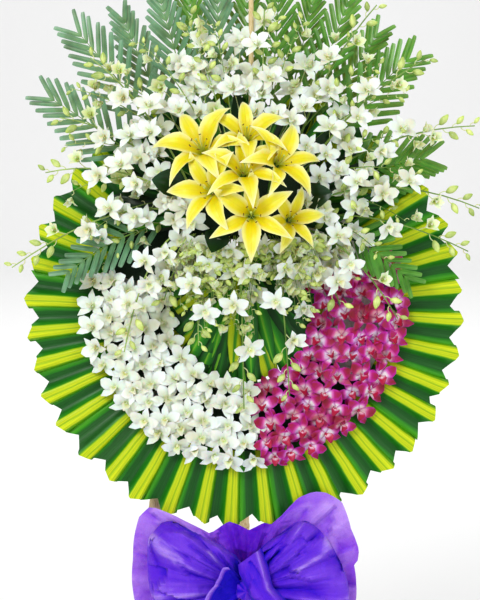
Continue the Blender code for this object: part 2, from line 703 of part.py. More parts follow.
# Broad dark leaves that fill behind the lilies
def build_broad_leaves():
    table = (
        ("broad_leaf_left", (-0.100, -FOAM_FRONT, 0.240), (-0.178, -0.188, 0.252), 0.028),
        ("broad_leaf_lower", (-0.045, -FOAM_FRONT, 0.160), (-0.062, -0.212, 0.112), 0.026),
        ("broad_leaf_right", (0.098, -FOAM_FRONT, 0.215), (0.170, -0.190, 0.226), 0.026),
    )
    stalk_half = 0.003
    for name, root, tip, half in table:
        root, tip = Vector(root), Vector(tip)
        along = (tip - root).normalized()
        side = along.cross(FRONT).normalized()
        rise = side.cross(along).normalized()
        length = (tip - root).length
        points, faces = [], []
        for at in (-PEG_DEPTH, length * 0.16):
            points += [root + along * at - side * stalk_half, root + along * at + side * stalk_half]
        for share, width in ((0.42, 0.85), (0.66, 1.0), (0.88, 0.60)):
            middle, edge = root + along * length * share, side * half * width
            lift = rise * 0.25 * half * width
            points += [middle - edge + lift, middle, middle + edge + lift]
        points.append(tip)
        faces = [[0, 1, 3, 2], [2, 5, 4], [2, 3, 5], [3, 6, 5]]
        for a in (4, 7):
            faces += [[a, a + 1, a + 4, a + 3], [a + 1, a + 2, a + 5, a + 4]]
        faces += [[10, 11, 13], [11, 12, 13]]
        node(name, thicken(points, faces, LEAF_THICKNESS), DARK_LEAF)
        inner, outer = root - along * PEG_DEPTH, root + along * length * 0.16
        corners = [side * w * (stalk_half + GAP) + rise * h * (LEAF_THICKNESS / 2 + GAP) for w, h in
                   ((1, 1), (1, -1), (-1, -1), (-1, 1))]
        verts = [inner - along * GAP + c for c in corners] + [outer + c for c in corners]
        stem_holes.append((verts, loft([range(4), range(4, 8)])))


# Stake: a peeled bamboo stick that stands in the foam and rises above the flowers
def build_stake():
    foot = Vector((0.014, -0.100, FOAM_TOP - STAKE_DEPTH))
    top = Vector((0.014, -0.100, 0.625))
    wider = STAKE_RADIUS + GAP / math.cos(math.pi / 8)
    stem_holes.append(tube([foot - UP * GAP, foot + UP * (STAKE_DEPTH + 0.02)], [wider] * 2, 8))
    node("stake", tube([foot, top], [STAKE_RADIUS] * 2, 8), BAMBOO, smooth=True)


def build_foam():
    """The block is made last, when every stem has left its hole."""
    low = Vector((-FOAM_HALF_WIDTH, -FOAM_FRONT, FOAM_BOTTOM))
    high = Vector((FOAM_HALF_WIDTH, -RING_DEPTH - GAP, FOAM_TOP))
    combine(node("foam_block", box(low, high), FOAM_GREEN), stem_holes, "DIFFERENCE", "EXACT")


# Bow: purple cloth gathered by a knot in front of the lower crossbar
CLOTH_INNER = KNOT_RADIUS + 0.0007
# (degrees round the knot, reach) of the back sheets, whose corners stand up in front of the collar
SHEET_EDGE = (
    (-62, 0.160), (-40, 0.200), (-8, 0.224), (13, 0.226), (20, 0.238), (41, 0.250), (57, 0.236), (66, 0.150),
    (76, 0.116), (88, 0.104), (104, 0.118), (118, 0.118), (134, 0.150), (141, 0.248), (149, 0.258),
    (172, 0.228), (186, 0.228), (222, 0.200), (242, 0.160),
)


def sheet_reach(degrees):
    for (a, low), (b, high) in zip(SHEET_EDGE, SHEET_EDGE[1:]):
        if a <= degrees <= b:
            return low + (high - low) * (degrees - a) / (b - a)


def bow_back_sheet():
    columns, rows = 24, 2
    first, last = SHEET_EDGE[0][0], SHEET_EDGE[-1][0]
    knot_depth, low_depth, high_depth, pleat = 0.022, 0.030, 0.052, 0.004
    rise_rate = 3
    points, faces = [], []
    for i in range(columns + 1):
        degrees = first + (last - first) * i / columns
        height = min(max(math.sin(math.radians(degrees)) * rise_rate, 0), 1)
        far_depth = low_depth + (high_depth - low_depth) * height
        for k in range(rows + 1):
            share = k / rows
            reach = CLOTH_INNER + (sheet_reach(degrees) - CLOTH_INNER) * share
            depth = knot_depth + (far_depth - knot_depth) * min(share * 2, 1)
            depth += pleat * share * (1 if i % 2 else -1)
            points.append(on_disc(reach, math.radians(degrees), depth) + Vector((BOW_X, 0, BOW_Z)))
    step = rows + 1
    for i in range(columns):
        for a in range(i * step, i * step + rows):
            faces += [[a, a + 1, a + step + 1], [a, a + step + 1, a + step]]
    node("bow_back_sheet", thicken(points, faces, CLOTH), PURPLE_CLOTH)


def bow_loop(name, middle, half):
    """A puffed lobe with gathers that run out from the knot."""
    columns, rows = 9, 4
    depth_at_knot, full_reach = 0.086, 0.205
    verts, faces = [], []
    for front in (1, 0):
        for i in range(columns + 1):
            across_share = 2 * i / columns - 1
            angle = math.radians(middle + half * across_share)
            reach = full_reach * (1 - 0.16 * across_share**2)
            round_share = math.sqrt(max(1 - across_share**2, 0.02))
            gather = 0.003 * (1 if i % 2 else -1)
            for k in range(rows + 1):
                share = k / rows
                puff = math.sin(math.pi * min(share * 0.9 + 0.08, 1)) * round_share
                depth = depth_at_knot + gather * (1 - share * 0.3)
                depth += 0.003 + 0.030 * puff if front else -0.003 - 0.014 * puff
                radius = CLOTH_INNER + (reach - CLOTH_INNER) * share
                verts.append(on_disc(radius, angle, depth) + Vector((BOW_X, 0, BOW_Z)))
    step, layer = rows + 1, (columns + 1) * (rows + 1)
    for i in range(columns):
        for a in range(i * step, i * step + rows):
            faces.append([a, a + 1, a + step + 1, a + step])
            faces.append([layer + a, layer + a + step, layer + a + step + 1, layer + a + 1])
        for a in (i * step, i * step + rows):
            faces.append([a, a + step, layer + a + step, layer + a])
    for i in (0, columns):
        for a in range(i * step, i * step + rows):
            faces.append([a, a + 1, layer + a + 1, layer + a])
    node(name, (verts, faces), PURPLE_CLOTH)


def bow_tail(lean, length, depth):
    """A strip that hangs from the knot, with a fold down its length."""
    rows = 5
    points, faces = [], []
    for k in range(rows + 1):
        share = k / rows
        drop = 0.010 + length * share
        half = 0.008 + 0.038 * min(share * 1.6, 1)
        for c in range(4):
            x = BOW_X + lean * drop + (c / 3 * 2 - 1) * half
            y = -depth + 0.005 * (1 if c % 2 else -1) - 0.014 * math.sin(share * math.pi)
            points.append(Vector((x, y, BOW_Z - drop)))
    for a in range(rows * 4):
        if a % 4 < 3:
            faces.append([a, a + 1, a + 5, a + 4])
    return thicken(points, faces, CLOTH)


def bow_strap():
    """The loop of the tie that goes round the crossbar."""
    sides, half_width, wrap_thickness = 8, 0.009, 0.0048
    verts = []
    for radius in (BAR_RADIUS + wrap_thickness, BAR_RADIUS + GAP * 1.2):
        for side in (-1, 1):
            for k in range(sides):
                turn = k * math.tau / sides
                offset = Vector((side * half_width, math.cos(turn) * radius, math.sin(turn) * radius))
                verts.append(Vector((BOW_X, LOWER_BAR_PLANE, BOW_Z)) + offset)
    faces = []
    for k in range(sides):
        n = (k + 1) % sides
        for a, b in ((0, 1), (2, 3), (0, 2), (1, 3)):
            faces.append([a * sides + k, a * sides + n, b * sides + n, b * sides + k])
    return verts, faces


def build_bow():
    bow_back_sheet()
    bow_loop("bow_loop_left", 170, 58)
    bow_loop("bow_loop_right", 8, 54)
    stations = [(KNOT_BACK, 0.9), (KNOT_BACK + 0.002, 1), (KNOT_FRONT - 0.014, 1), (KNOT_FRONT, 0.5)]
    path = [Vector((BOW_X, -depth, BOW_Z)) for depth, _ in stations]
    knot = tube(path, [KNOT_RADIUS * share for _, share in stations], 10)
    tails = [bow_tail(-0.27, 0.31, 0.046), bow_tail(0.22, 0.34, 0.062)]
    fuse("bow_knot_and_tails", [knot, bow_strap(), *tails], PURPLE_CLOTH)


build_easel()
build_ring()
build_collar()
build_band()
build_fan()
build_fronds()
build_sprays()
build_lilies()
build_broad_leaves()
build_stake()
build_foam()
build_bow()
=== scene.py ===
import math
import random

import bmesh
import bpy
from mathutils import Matrix, Vector, noise


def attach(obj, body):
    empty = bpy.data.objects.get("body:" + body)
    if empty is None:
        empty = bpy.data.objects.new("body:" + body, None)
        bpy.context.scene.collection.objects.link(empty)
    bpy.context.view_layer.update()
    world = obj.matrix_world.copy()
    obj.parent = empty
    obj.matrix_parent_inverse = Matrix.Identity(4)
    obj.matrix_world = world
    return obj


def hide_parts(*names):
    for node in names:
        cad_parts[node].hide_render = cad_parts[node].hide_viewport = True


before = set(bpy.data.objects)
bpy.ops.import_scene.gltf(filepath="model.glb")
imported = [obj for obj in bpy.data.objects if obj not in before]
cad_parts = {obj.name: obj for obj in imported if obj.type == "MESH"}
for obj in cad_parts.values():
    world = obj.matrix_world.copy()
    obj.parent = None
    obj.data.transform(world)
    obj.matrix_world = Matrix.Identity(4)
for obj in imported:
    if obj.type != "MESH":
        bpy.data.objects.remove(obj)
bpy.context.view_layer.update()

# Easel
# The wreath leans on three peeled bamboo poles, two in front and one behind, with a crossbar at the flowers
# and one at the bow. Bamboo is a hollow grass: its joints stand out as swollen rings, and its sawn ends
# show the hollow. All is made upright here, round the wreath's own centre, and leaned back when seated.
LEAN = math.radians(10)
WREATH = Matrix.Translation((0, -0.127, 1.0)) @ Matrix.Rotation(-LEAN, 4, "X")
UP, FRONT = Vector((0, 0, 1)), Vector((0, -1, 0))
GAP = 0.0003
POLE_RADIUS, POLE_SWELL, BAR_RADIUS = 0.0125, 1.13, 0.009
LEG_TOP_SPREAD, FOOT_SPREAD, LEG_TOP = 0.070, 0.270, 0.360
UPPER_BAR, BOW_Z, REAR_REACH = 0.285, -0.556, 0.505
LEG_PLANE = POLE_RADIUS * POLE_SWELL + GAP
UPPER_BAR_PLANE = LEG_PLANE + POLE_RADIUS + BAR_RADIUS + GAP
LOWER_BAR_PLANE = LEG_PLANE - POLE_RADIUS - BAR_RADIUS - GAP


def linear(hex_colour):
    """An sRGB hex colour as the linear light that shaders take."""
    parts = [int(hex_colour[i : i + 2], 16) / 255 for i in (0, 2, 4)]
    return (*[c / 12.92 if c <= 0.04045 else ((c + 0.055) / 1.055) ** 2.4 for c in parts], 1)


def finish(name, **even):
    """A new material. even gives the shader's values that are the same all over."""
    made = bpy.data.materials.new(name)
    made.use_nodes = True
    shader = made.node_tree.nodes["Principled BSDF"]
    for socket, value in even.items():
        shader.inputs[socket.replace("_", " ")].default_value = value
    return made


def link(material, source, socket):
    """Links a socket from another one, or from a node's first output."""
    source = source.outputs[0] if isinstance(source, bpy.types.Node) else source
    material.node_tree.links.new(source, socket)


def add_node(material, kind, inputs=None, stops=(), **settings):
    """One shader node, its inputs set or linked from nodes or sockets. stops are a ramp's colours."""
    made = material.node_tree.nodes.new(kind)
    for key, value in settings.items():
        setattr(made, key, value)
    for number, (at, colour) in enumerate(stops):
        stop = made.color_ramp.elements[number] if number < 2 else made.color_ramp.elements.new(at)
        stop.position, stop.color = at, linear(colour)
    for socket, value in (inputs or {}).items():
        if isinstance(value, (bpy.types.Node, bpy.types.NodeSocket)):
            link(material, value, made.inputs[socket])
        else:
            made.inputs[socket].default_value = value
    return made


def wear(material, **sockets):
    """Links the shader's own inputs, Base_Color, Roughness or Normal, from nodes or sockets."""
    shader = material.node_tree.nodes["Principled BSDF"]
    for socket, source in sockets.items():
        link(material, source, shader.inputs[socket.replace("_", " ")])


def only(piece):
    """Selects one piece alone and makes it active."""
    bpy.ops.object.select_all(action="DESELECT")
    piece.select_set(True)
    bpy.context.view_layer.objects.active = piece


def opened(add, **settings):
    """Adds a primitive with nothing else selected, and opens it in edit mode."""
    bpy.ops.object.select_all(action="DESELECT")
    add(**settings)
    bpy.ops.object.mode_set(mode="EDIT")
    bpy.ops.mesh.select_mode(type="VERT")
    return bpy.context.object


def pick(kind, test):
    """In edit mode, selects the corners, edges or faces that test says yes to."""
    bpy.ops.mesh.select_mode(type=kind)
    bpy.ops.mesh.select_all(action="DESELECT")
    cage = bmesh.from_edit_mesh(bpy.context.object.data)
    for part in {"VERT": cage.verts, "EDGE": cage.edges, "FACE": cage.faces}[kind]:
        if test(part):
            part.select_set(True)
    cage.select_flush_mode()
    bmesh.update_edit_mesh(bpy.context.object.data)


def extrude(by):
    """Draws the selection out by a distance."""
    bpy.ops.mesh.extrude_region_move(TRANSFORM_OT_translate={"value": by})


def turn_outwards():
    """Turns all the faces in edit mode outwards."""
    bpy.ops.mesh.select_all(action="SELECT")
    bpy.ops.mesh.normals_make_consistent(inside=False)


def weld(gap):
    """Merges all the corners in edit mode that lie closer than a gap."""
    bpy.ops.mesh.select_all(action="SELECT")
    bpy.ops.mesh.remove_doubles(threshold=gap)


def closed(smooth_below, *materials):
    """Leaves edit mode, gives the piece its materials and smooths its edges below an angle in degrees."""
    bpy.ops.object.mode_set(mode="OBJECT")
    for material in materials:
        bpy.context.object.data.materials.append(material)
    if smooth_below:
        bpy.ops.object.shade_smooth_by_angle(angle=math.radians(smooth_below))
    return bpy.context.object


def seat(piece, name, slot, *nodes):
    """Leans a finished piece back with the wreath, and rides it on the frame in place of its CAD nodes."""
    only(piece)
    piece.name = name
    piece.data.name = name
    bpy.context.view_layer.update()
    piece.matrix_world = WREATH @ piece.matrix_world
    bpy.ops.object.transform_apply(location=True, rotation=True, scale=True)
    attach(piece, "root")
    if nodes:
        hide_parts(*nodes)
    return piece


def bamboo(name, stretch):
    """Peeled bamboo: a dull cream straw colour with fine fibres that run lengthwise, about 1 mm apart."""
    made = finish(name, Roughness=0.5)
    place = add_node(made, "ShaderNodeTexCoord").outputs["Object"]
    along = add_node(made, "ShaderNodeMapping", {"Vector": place, "Scale": stretch})
    fibres = add_node(made, "ShaderNodeTexNoise", {"Vector": along, "Scale": 9, "Detail": 5})
    colours = (0.25, "B99B63"), (0.5, "DDC795"), (0.8, "EFE1BD")
    tint = add_node(made, "ShaderNodeValToRGB", {"Fac": fibres}, stops=colours)
    rough = add_node(made, "ShaderNodeBump", {"Height": fibres, "Strength": 0.25, "Distance": 0.001})
    wear(made, Base_Color=tint, Normal=rough)
    return made


BAMBOO_POLE = bamboo("peeled_bamboo_pole", (60, 60, 4))
BAMBOO_BAR = bamboo("peeled_bamboo_bar", (4, 60, 60))
BAMBOO_SCAR = finish("bamboo_joint_scar", Base_Color=linear("8A6B3C"), Roughness=0.7)


def floor_height(y):
    """The floor's height in the wreath's frame, at a place y."""
    return (y * math.sin(LEAN) - 1.0) / math.cos(LEAN)


def leg_x(z):
    """How far the front legs stand from the middle at a height."""
    foot = floor_height(LEG_PLANE)
    return LEG_TOP_SPREAD + (FOOT_SPREAD - LEG_TOP_SPREAD) * (LEG_TOP - z) / (LEG_TOP - foot)


def bamboo_pole(start, end, radius, joints, material):
    """A pole drawn out ring by ring, with a swollen joint at each share of it, and hollow ends."""
    # (distance from the joint's middle, swell)
    joint = (-0.014, 1.0), (-0.006, 1.02), (-0.002, POLE_SWELL), (0, 1.05), (0.002, 1.10), (0.012, 1.0)
    length = (end - start).length
    along = (end - start).normalized()
    turn = along.to_track_quat("Z", "Y").to_euler()
    pole = opened(bpy.ops.mesh.primitive_circle_add, vertices=20, radius=radius, fill_type="NGON",
                  location=start, rotation=turn)
    pole.data.materials.append(material)
    pole.data.materials.append(BAMBOO_SCAR)
    rings = [(share * length + offset, size) for share in joints for offset, size in joint]
    at, swell = 0.0, 1.0
    for middle, bulge in [*rings, (length, 1)]:
        extrude(along * (middle - at))
        bpy.ops.transform.resize(value=(bulge / swell,) * 3, center_override=start + along * middle)
        at, swell = middle, bulge
    turn_outwards()
    for tip, inward in ((start, along), (end, -along)):
        local_tip = pole.matrix_world.inverted() @ tip
        pick("FACE", lambda face: len(face.verts) > 4
             and (face.calc_center_median() - local_tip).length < 0.002)
        bpy.ops.mesh.inset(thickness=radius * 0.3)
        extrude(inward * radius)
    for share in joints:
        scar = pole.matrix_world.inverted() @ (start + along * (share * length - 0.001))
        pick("FACE", lambda face: abs(face.calc_center_median().z - scar.z) < 0.0012)
        pole.active_material_index = 1
        bpy.ops.object.material_slot_assign()
    return closed(40)


def cut_at_floor(pole):
    """Saws a seated pole flat at the floor."""
    only(pole)
    bpy.ops.object.mode_set(mode="EDIT")
    bpy.ops.mesh.select_all(action="SELECT")
    bpy.ops.mesh.bisect(plane_co=(0, 0, 0), plane_no=(0, 0, 1), use_fill=True, clear_inner=True)
    closed(0)


for side, hand in ((-1, "left"), (1, "right")):
    top = Vector((side * LEG_TOP_SPREAD, LEG_PLANE, LEG_TOP))
    foot = Vector((side * FOOT_SPREAD, LEG_PLANE, floor_height(LEG_PLANE)))
    past_floor = foot + (foot - top).normalized() * 0.02
    shares = [share * (foot - top).length / (past_floor - top).length for share in (0.10, 0.36)]
    leg = bamboo_pole(top, past_floor, POLE_RADIUS, shares, BAMBOO_POLE)
    cut_at_floor(seat(leg, f"bamboo_leg_{hand}", "bamboo", f"front_leg_{hand}"))

for bar, height, plane, reach in (
    ("upper", UPPER_BAR, UPPER_BAR_PLANE, leg_x(UPPER_BAR) + 0.045),
    ("lower", BOW_Z, LOWER_BAR_PLANE, leg_x(BOW_Z) + POLE_RADIUS),
):
    ends = [Vector((side * reach, plane, height)) for side in (-1, 1)]
    stick = bamboo_pole(*ends, BAR_RADIUS, (), BAMBOO_BAR)
    seat(stick, f"bamboo_crossbar_{bar}", "bamboo", f"{bar}_crossbar")

foot_y = REAR_REACH * math.cos(LEAN) + math.sin(LEAN)
foot = Vector((0, foot_y, floor_height(foot_y)))
at_bar = Vector((0, UPPER_BAR_PLANE, UPPER_BAR))
for _ in range(3):
    along = (foot - at_bar).normalized()
    at_bar.y = UPPER_BAR_PLANE + (POLE_RADIUS + BAR_RADIUS + GAP) / abs(along.z)
top = at_bar - along * 0.030
past_floor = foot + along * 0.03
shares = [share * (foot - top).length / (past_floor - top).length for share in (0.30, 0.66)]
rear = bamboo_pole(top, past_floor, POLE_RADIUS, shares, BAMBOO_POLE)
cut_at_floor(seat(rear, "bamboo_rear_leg", "bamboo", "rear_leg"))

stake_foot, stake_top = Vector((0.014, -0.100, 0.202)), Vector((0.014, -0.100, 0.625))
stick = bamboo_pole(stake_foot, stake_top, 0.005, (), BAMBOO_POLE)
seat(stick, "bamboo_stake", "bamboo", "stake")

# Foam ring
# A ring of white expanded polystyrene, hot-wire cut, that the leaves and orchids are pinned to. It shows
# from behind as a dull white surface of fused beads, each about 4 mm across.
RING_INNER, RING_OUTER, RING_DEPTH = 0.150, 0.300, 0.030


def spun(points, steps, angle, gap):
    """In edit mode, a flat outline drawn corner by corner, filled, and spun round the wreath's middle."""
    opened(bpy.ops.mesh.primitive_plane_add, size=0.01, location=points[0])
    bpy.ops.mesh.merge(type="CENTER")
    for before, after in zip(points, points[1:]):
        extrude(after - before)
    bpy.ops.mesh.select_all(action="SELECT")
    bpy.ops.mesh.edge_face_add()
    bpy.ops.mesh.spin(steps=steps, angle=angle, center=(0, 0, 0), axis=(0, 1, 0))
    weld(gap)


def polystyrene():
    """Expanded polystyrene: dull white, with shallow seams between its beads."""
    made = finish("expanded_polystyrene", Roughness=0.85, Subsurface_Weight=0.15, Subsurface_Scale=0.01)
    place = add_node(made, "ShaderNodeTexCoord").outputs["Object"]
    beads = add_node(made, "ShaderNodeTexVoronoi", {"Vector": place, "Scale": 250})
    colours = (0.0, "FAFAF7"), (0.7, "EDEEEA"), (1.0, "D3D5D0")
    tint = add_node(made, "ShaderNodeValToRGB", {"Fac": beads}, stops=colours)
    seams = add_node(made, "ShaderNodeBump", {"Height": beads, "Strength": 0.5, "Distance": -0.0008})
    wear(made, Base_Color=tint, Normal=seams)
    return made


corners = ((RING_INNER, 0.008), (RING_INNER + 0.008, 0), (RING_OUTER - 0.008, 0), (RING_OUTER, 0.008),
           (RING_OUTER, RING_DEPTH), (RING_INNER, RING_DEPTH))
spun([Vector((radius, -depth, 0)) for radius, depth in corners], 96, math.tau, 0.0001)
pick("FACE", lambda face: len(face.verts) > 4)
bpy.ops.mesh.delete(type="ONLY_FACE")
turn_outwards()
seat(closed(30, polystyrene()), "polystyrene_ring", "ring_foam", "foam_ring")

# Leaf collar
# Forty dracaena leaves, dark green with a yellow-lime stripe, each folded lengthwise into a pleat, lapped
# over the next and held by a small wire staple. The waxy leaves shine softly, and their veins run lengthwise.
COLLAR_LEAVES, COLLAR_ROOT = 40, 0.2885
LEAF_ANGLE = math.tau / COLLAR_LEAVES


def blade(columns, profile, lift=lambda across: 0.0):
    """A leaf or petal along +Y that faces +Z, shaped row by row, in edit mode. profile gives each row's place
    along, half width and rise, and lift a column's rise, in half widths, by its place across from -1 to 1."""
    rows = len(profile) - 1
    made = opened(bpy.ops.mesh.primitive_grid_add, x_subdivisions=columns, y_subdivisions=rows, size=2)
    for column in range(columns + 1):
        across = 2 * column / columns - 1
        pick("VERT", lambda corner: corner.index % (columns + 1) == column)
        bpy.ops.transform.translate(value=(0, 0, lift(across)))
    for row, (along, half, rise) in enumerate(profile):
        middle = 2 * row / rows - 1
        pick("VERT", lambda corner: corner.index // (columns + 1) == row)
        bpy.ops.transform.resize(value=(half, 1, half), center_override=(0, middle, 0))
        bpy.ops.transform.translate(value=(0, along - middle, rise))
    return made


def back_and_close(thickness, smooth_below, *materials):
    """Backs the sheet in edit mode with a second one that meets it along its edge, and finishes it."""
    bpy.ops.mesh.select_all(action="SELECT")
    bpy.ops.mesh.duplicate()
    bpy.ops.mesh.flip_normals()
    cage = bmesh.from_edit_mesh(bpy.context.object.data)
    for corner in cage.verts:
        if corner.is_boundary:
            corner.select_set(False)
    bpy.ops.transform.shrink_fatten(value=thickness)
    weld(0.00001)
    return closed(smooth_below, *materials)


def copy_of(model, place):
    """A copy of a model, with its own mesh, at a place given as a matrix."""
    made = bpy.data.objects.new(model.name, model.data.copy())
    bpy.context.scene.collection.objects.link(made)
    made.matrix_world = place
    return made


def joined(pieces):
    """Several pieces made one."""
    bpy.context.view_layer.update()
    bpy.ops.object.select_all(action="DESELECT")
    for piece in pieces:
        piece.select_set(True)
    bpy.context.view_layer.objects.active = pieces[0]
    bpy.ops.object.join()
    return pieces[0]


def discard(*models):
    """Removes models whose copies have been made."""
    for model in models:
        bpy.data.objects.remove(model)


def facing(right, up, forward, centre, scale=1.0):
    """The place of a copy whose x, y and z point along three directions."""
    turn = Matrix((right, up, forward)).transposed().to_4x4()
    return Matrix.Translation(centre) @ turn @ Matrix.Scale(scale, 4)


def veined(made, across, along, detail, strength, depth):
    """Raises veins along a leaf or petal, stretched along its own UV. Returns its x and y, and the veins."""
    own = add_node(made, "ShaderNodeUVMap", uv_map="UVMap")
    stretch = add_node(made, "ShaderNodeMapping", {"Vector": own, "Scale": (across, along, 1)})
    veins = add_node(made, "ShaderNodeTexNoise", {"Vector": stretch, "Scale": 1, "Detail": detail})
    ribs = add_node(made, "ShaderNodeBump", {"Height": veins, "Strength": strength, "Distance": depth})
    wear(made, Normal=ribs)
    return add_node(made, "ShaderNodeSeparateXYZ", {"Vector": own}), veins


def striped_leaf(name, stripes):
    """Dracaena leaf: waxy, so it has a soft gloss, with parallel veins about 1.5 mm apart along its length.
    stripes are the colours across the leaf."""
    made = finish(name, Specular_IOR_Level=0.4)
    own, veins = veined(made, 60, 1.5, 3, 0.35, 0.0008)
    place = add_node(made, "ShaderNodeTexCoord").outputs["Object"]
    waver = add_node(made, "ShaderNodeTexNoise", {"Vector": place, "Scale": 14, "Detail": 2})
    shift = add_node(made, "ShaderNodeMath", {0: waver, 1: 0.10, 2: -0.05}, operation="MULTIPLY_ADD")
    across = add_node(made, "ShaderNodeMath", {0: own.outputs["X"], 1: shift}, operation="ADD")
    colours = add_node(made, "ShaderNodeValToRGB", {"Fac": across}, stops=stripes)
    shade = add_node(made, "ShaderNodeValToRGB", {"Fac": veins}, stops=((0.3, "A9B8A0"), (0.7, "FFFFFF")))
    tint = add_node(made, "ShaderNodeMix", {0: 0.75, 6: colours, 7: shade},
                    data_type="RGBA", blend_type="MULTIPLY")
    gloss = add_node(made, "ShaderNodeMapRange", {"Value": waver, "To Min": 0.30, "To Max": 0.5})
    wear(made, Base_Color=tint.outputs[2], Roughness=gloss)
    return made


# across one leaf: the raised yellow stripe, its green line, the green fold, the dark valley in its own green
# with painted shade, the lighter lap
COLLAR_STRIPES_AND_SHADE = (
    (0.0, "4FA812"), (0.07, "86C010"), (0.10, "D5E60A"), (0.20, "DFEA14"), (0.24, "A4CC0C"),
    (0.28, "DDE80E"), (0.40, "D0E308"), (0.44, "7DBE10"), (0.47, "33961A"), (0.58, "1B7A1A"),
    (0.64, "17601C"), (0.80, "1E6A1E"), (0.84, "2F9416"), (0.95, "5AB41A"),
)
# (place across, how far the pleat stands up) of each column of a leaf
PLEAT_COLUMNS = ((-0.05, 0.1), (0.01, 0.75), (0.08, 0.98), (0.16, 1.0), (0.24, 0.95), (0.32, 1.0),
                 (0.39, 0.92), (0.45, 0.55), (0.54, 0.16), (0.64, 0.0), (0.78, 0.02), (0.86, 0.2),
                 (0.98, 0.34), (1.09, 0.05))
COLLAR_LEAF = striped_leaf("striped_dracaena_leaf", COLLAR_STRIPES_AND_SHADE)
# the leaves among them whose shaded valleys are greyer with a painted sheen
STRIPES_SHADE_AND_SHEEN = (*COLLAR_STRIPES_AND_SHADE[:8], (0.48, "368A26"), (0.58, "2A6A28"), (0.68, "346E34"), (0.82, "2A6A28"),
                (0.86, "2F9416"), (0.95, "5AB41A"))
SHEENED_COLLAR_LEAF = striped_leaf("striped_dracaena_leaf_painted_sheen", STRIPES_SHADE_AND_SHEEN)
STAPLE_WIRE = finish("galvanised_staple_wire", Base_Color=linear("C9CDD0"), Metallic=1.0, Roughness=0.3)


def pleat(rng):
    """One folded collar leaf, its tip cut in steps: a point over the stripe and a dip in the valley."""
    columns, rows = len(PLEAT_COLUMNS) - 1, 7
    half_pitch = math.tan(LEAF_ANGLE / 2)
    droop = rng.uniform(-0.004, 0.004)
    tip_gain = rng.uniform(-0.006, 0.005)
    point, valley = rng.choice((0.08, 0.16, 0.24, 0.32)), rng.choice((0.64, 0.64, 0.78))
    leaf = blade(columns, [(0, 1, 0)] * (rows + 1))
    cage = bmesh.from_edit_mesh(leaf.data)
    cage.verts.ensure_lookup_table()
    for corner in cage.verts:
        row, column = divmod(corner.index, columns + 1)
        across, raised = PLEAT_COLUMNS[column]
        share = row / rows
        if across < 0.42:
            edge = 0.025 - 0.035 * abs(across - point)
        elif across < valley:
            edge = 0.018 * (valley - across) / (valley - 0.42)
        else:
            edge = 0.017 * (across - valley) / (1.09 - valley)
        reach = COLLAR_ROOT - 0.006 + (0.1345 + edge + tip_gain) * share
        height = 0.0315 + raised * (0.008 + 0.009 * share) + (droop - 0.003) * share * share
        corner.co = ((across * 2 - 0.9) * half_pitch * reach, reach, height)
    stripe = rng.uniform(0.82, 1.25)
    own = cage.loops.layers.uv.active
    for face in cage.faces:
        for loop in face.loops:
            loop[own].uv.x = loop[own].uv.x ** stripe
    bmesh.update_edit_mesh(leaf.data)
    return back_and_close(0.0006, 50)


def on_disc(radius, angle, depth=0):
    """A point of the wreath's disc by its polar place, at a depth in front of its back."""
    return Vector((radius * math.cos(angle), -depth, radius * math.sin(angle)))


def around_disc(angle, depth=0.0):
    """The turn that takes a model from +Y, facing +Z, to a direction of the wreath's disc, facing forward."""
    outward = on_disc(1, angle)
    return facing(outward.cross(FRONT), outward, FRONT, FRONT * depth)


def staple():
    """A wire staple across a fold, 9 mm long, its legs through the leaf."""
    opened(bpy.ops.mesh.primitive_cube_add, size=1)
    bpy.ops.transform.resize(value=(0.009, 0.0009, 0.0006))
    bpy.ops.mesh.bevel(offset=0.0002, segments=2)
    pick("FACE", lambda face: face.normal.z < -0.9)
    bpy.ops.mesh.inset(thickness=0.0003)
    extrude((0, 0, -0.0012))
    return closed(0, STAPLE_WIRE)


rng = random.Random(3)
leaf_models = [pleat(rng) for _ in range(8)]
for number, model in enumerate(leaf_models):
    # two of the eight leaf models take the copy with the painted sheen
    model.data.materials.append(SHEENED_COLLAR_LEAF if number % 4 == 3 else COLLAR_LEAF)
wire = staple()
staples = []
for arc in range(4):
    leaves = []
    for number in range(10):
        angle = math.pi / 4 + (arc * 10 + number + 0.45) * LEAF_ANGLE + rng.uniform(-0.012, 0.012)
        model = leaf_models[rng.randrange(len(leaf_models))]
        leaves.append(copy_of(model, around_disc(angle, rng.uniform(0, 0.0012))))
        fold = -0.016 + rng.uniform(-0.004, 0.004), 0.392 + rng.uniform(-0.010, 0.010), 0.0345
        at = Matrix.Translation(fold) @ Matrix.Rotation(rng.uniform(-0.4, 0.4), 4, "Z")
        staples.append(copy_of(wire, around_disc(angle) @ at))
    seat(joined(leaves), f"pleated_leaves_{arc + 1}", "striped_leaf", f"leaf_collar_{arc + 1}")
seat(joined(staples), "collar_staples", "striped_leaf")
discard(wire, *leaf_models)

# Orchid band
# Cut dendrobium blooms, white from nine o'clock to six and magenta from there to half past three, pinned in
# rows to a padded arc of soaked dark foam. Each has three pointed sepals, two broad petals and a small lip.
BAND_INNER, BAND_OUTER = 0.158, 0.285
# (radius, tilt in degrees, depth) of each row of blooms
BAND_ROWS = ((0.165, -20, 0.057), (0.200, -10, 0.064), (0.235, 0, 0.067), (0.269, 10, 0.065),
             (0.301, 22, 0.058))
BLOOM_SPACING, BAND_BLOOM, PAD_BACK = 0.040, 0.034, 0.0303


def rimmed(made, own, along, rim, start, most):
    """Colours along a petal, and another on its edges from a start aside. Returns the mix and the aside."""
    colours = add_node(made, "ShaderNodeValToRGB", {"Fac": own.outputs["Y"]}, stops=along)
    middle = add_node(made, "ShaderNodeMath", {0: own.outputs["X"], 1: 0.5}, operation="SUBTRACT")
    aside = add_node(made, "ShaderNodeMath", {0: middle}, operation="ABSOLUTE")
    edge = add_node(made, "ShaderNodeMapRange", {"Value": aside, "From Min": start, "From Max": 0.5,
                                                 "To Max": most})
    mix = add_node(made, "ShaderNodeMix", {0: edge, 6: colours, 7: linear(rim)}, data_type="RGBA")
    return mix.outputs[2], aside


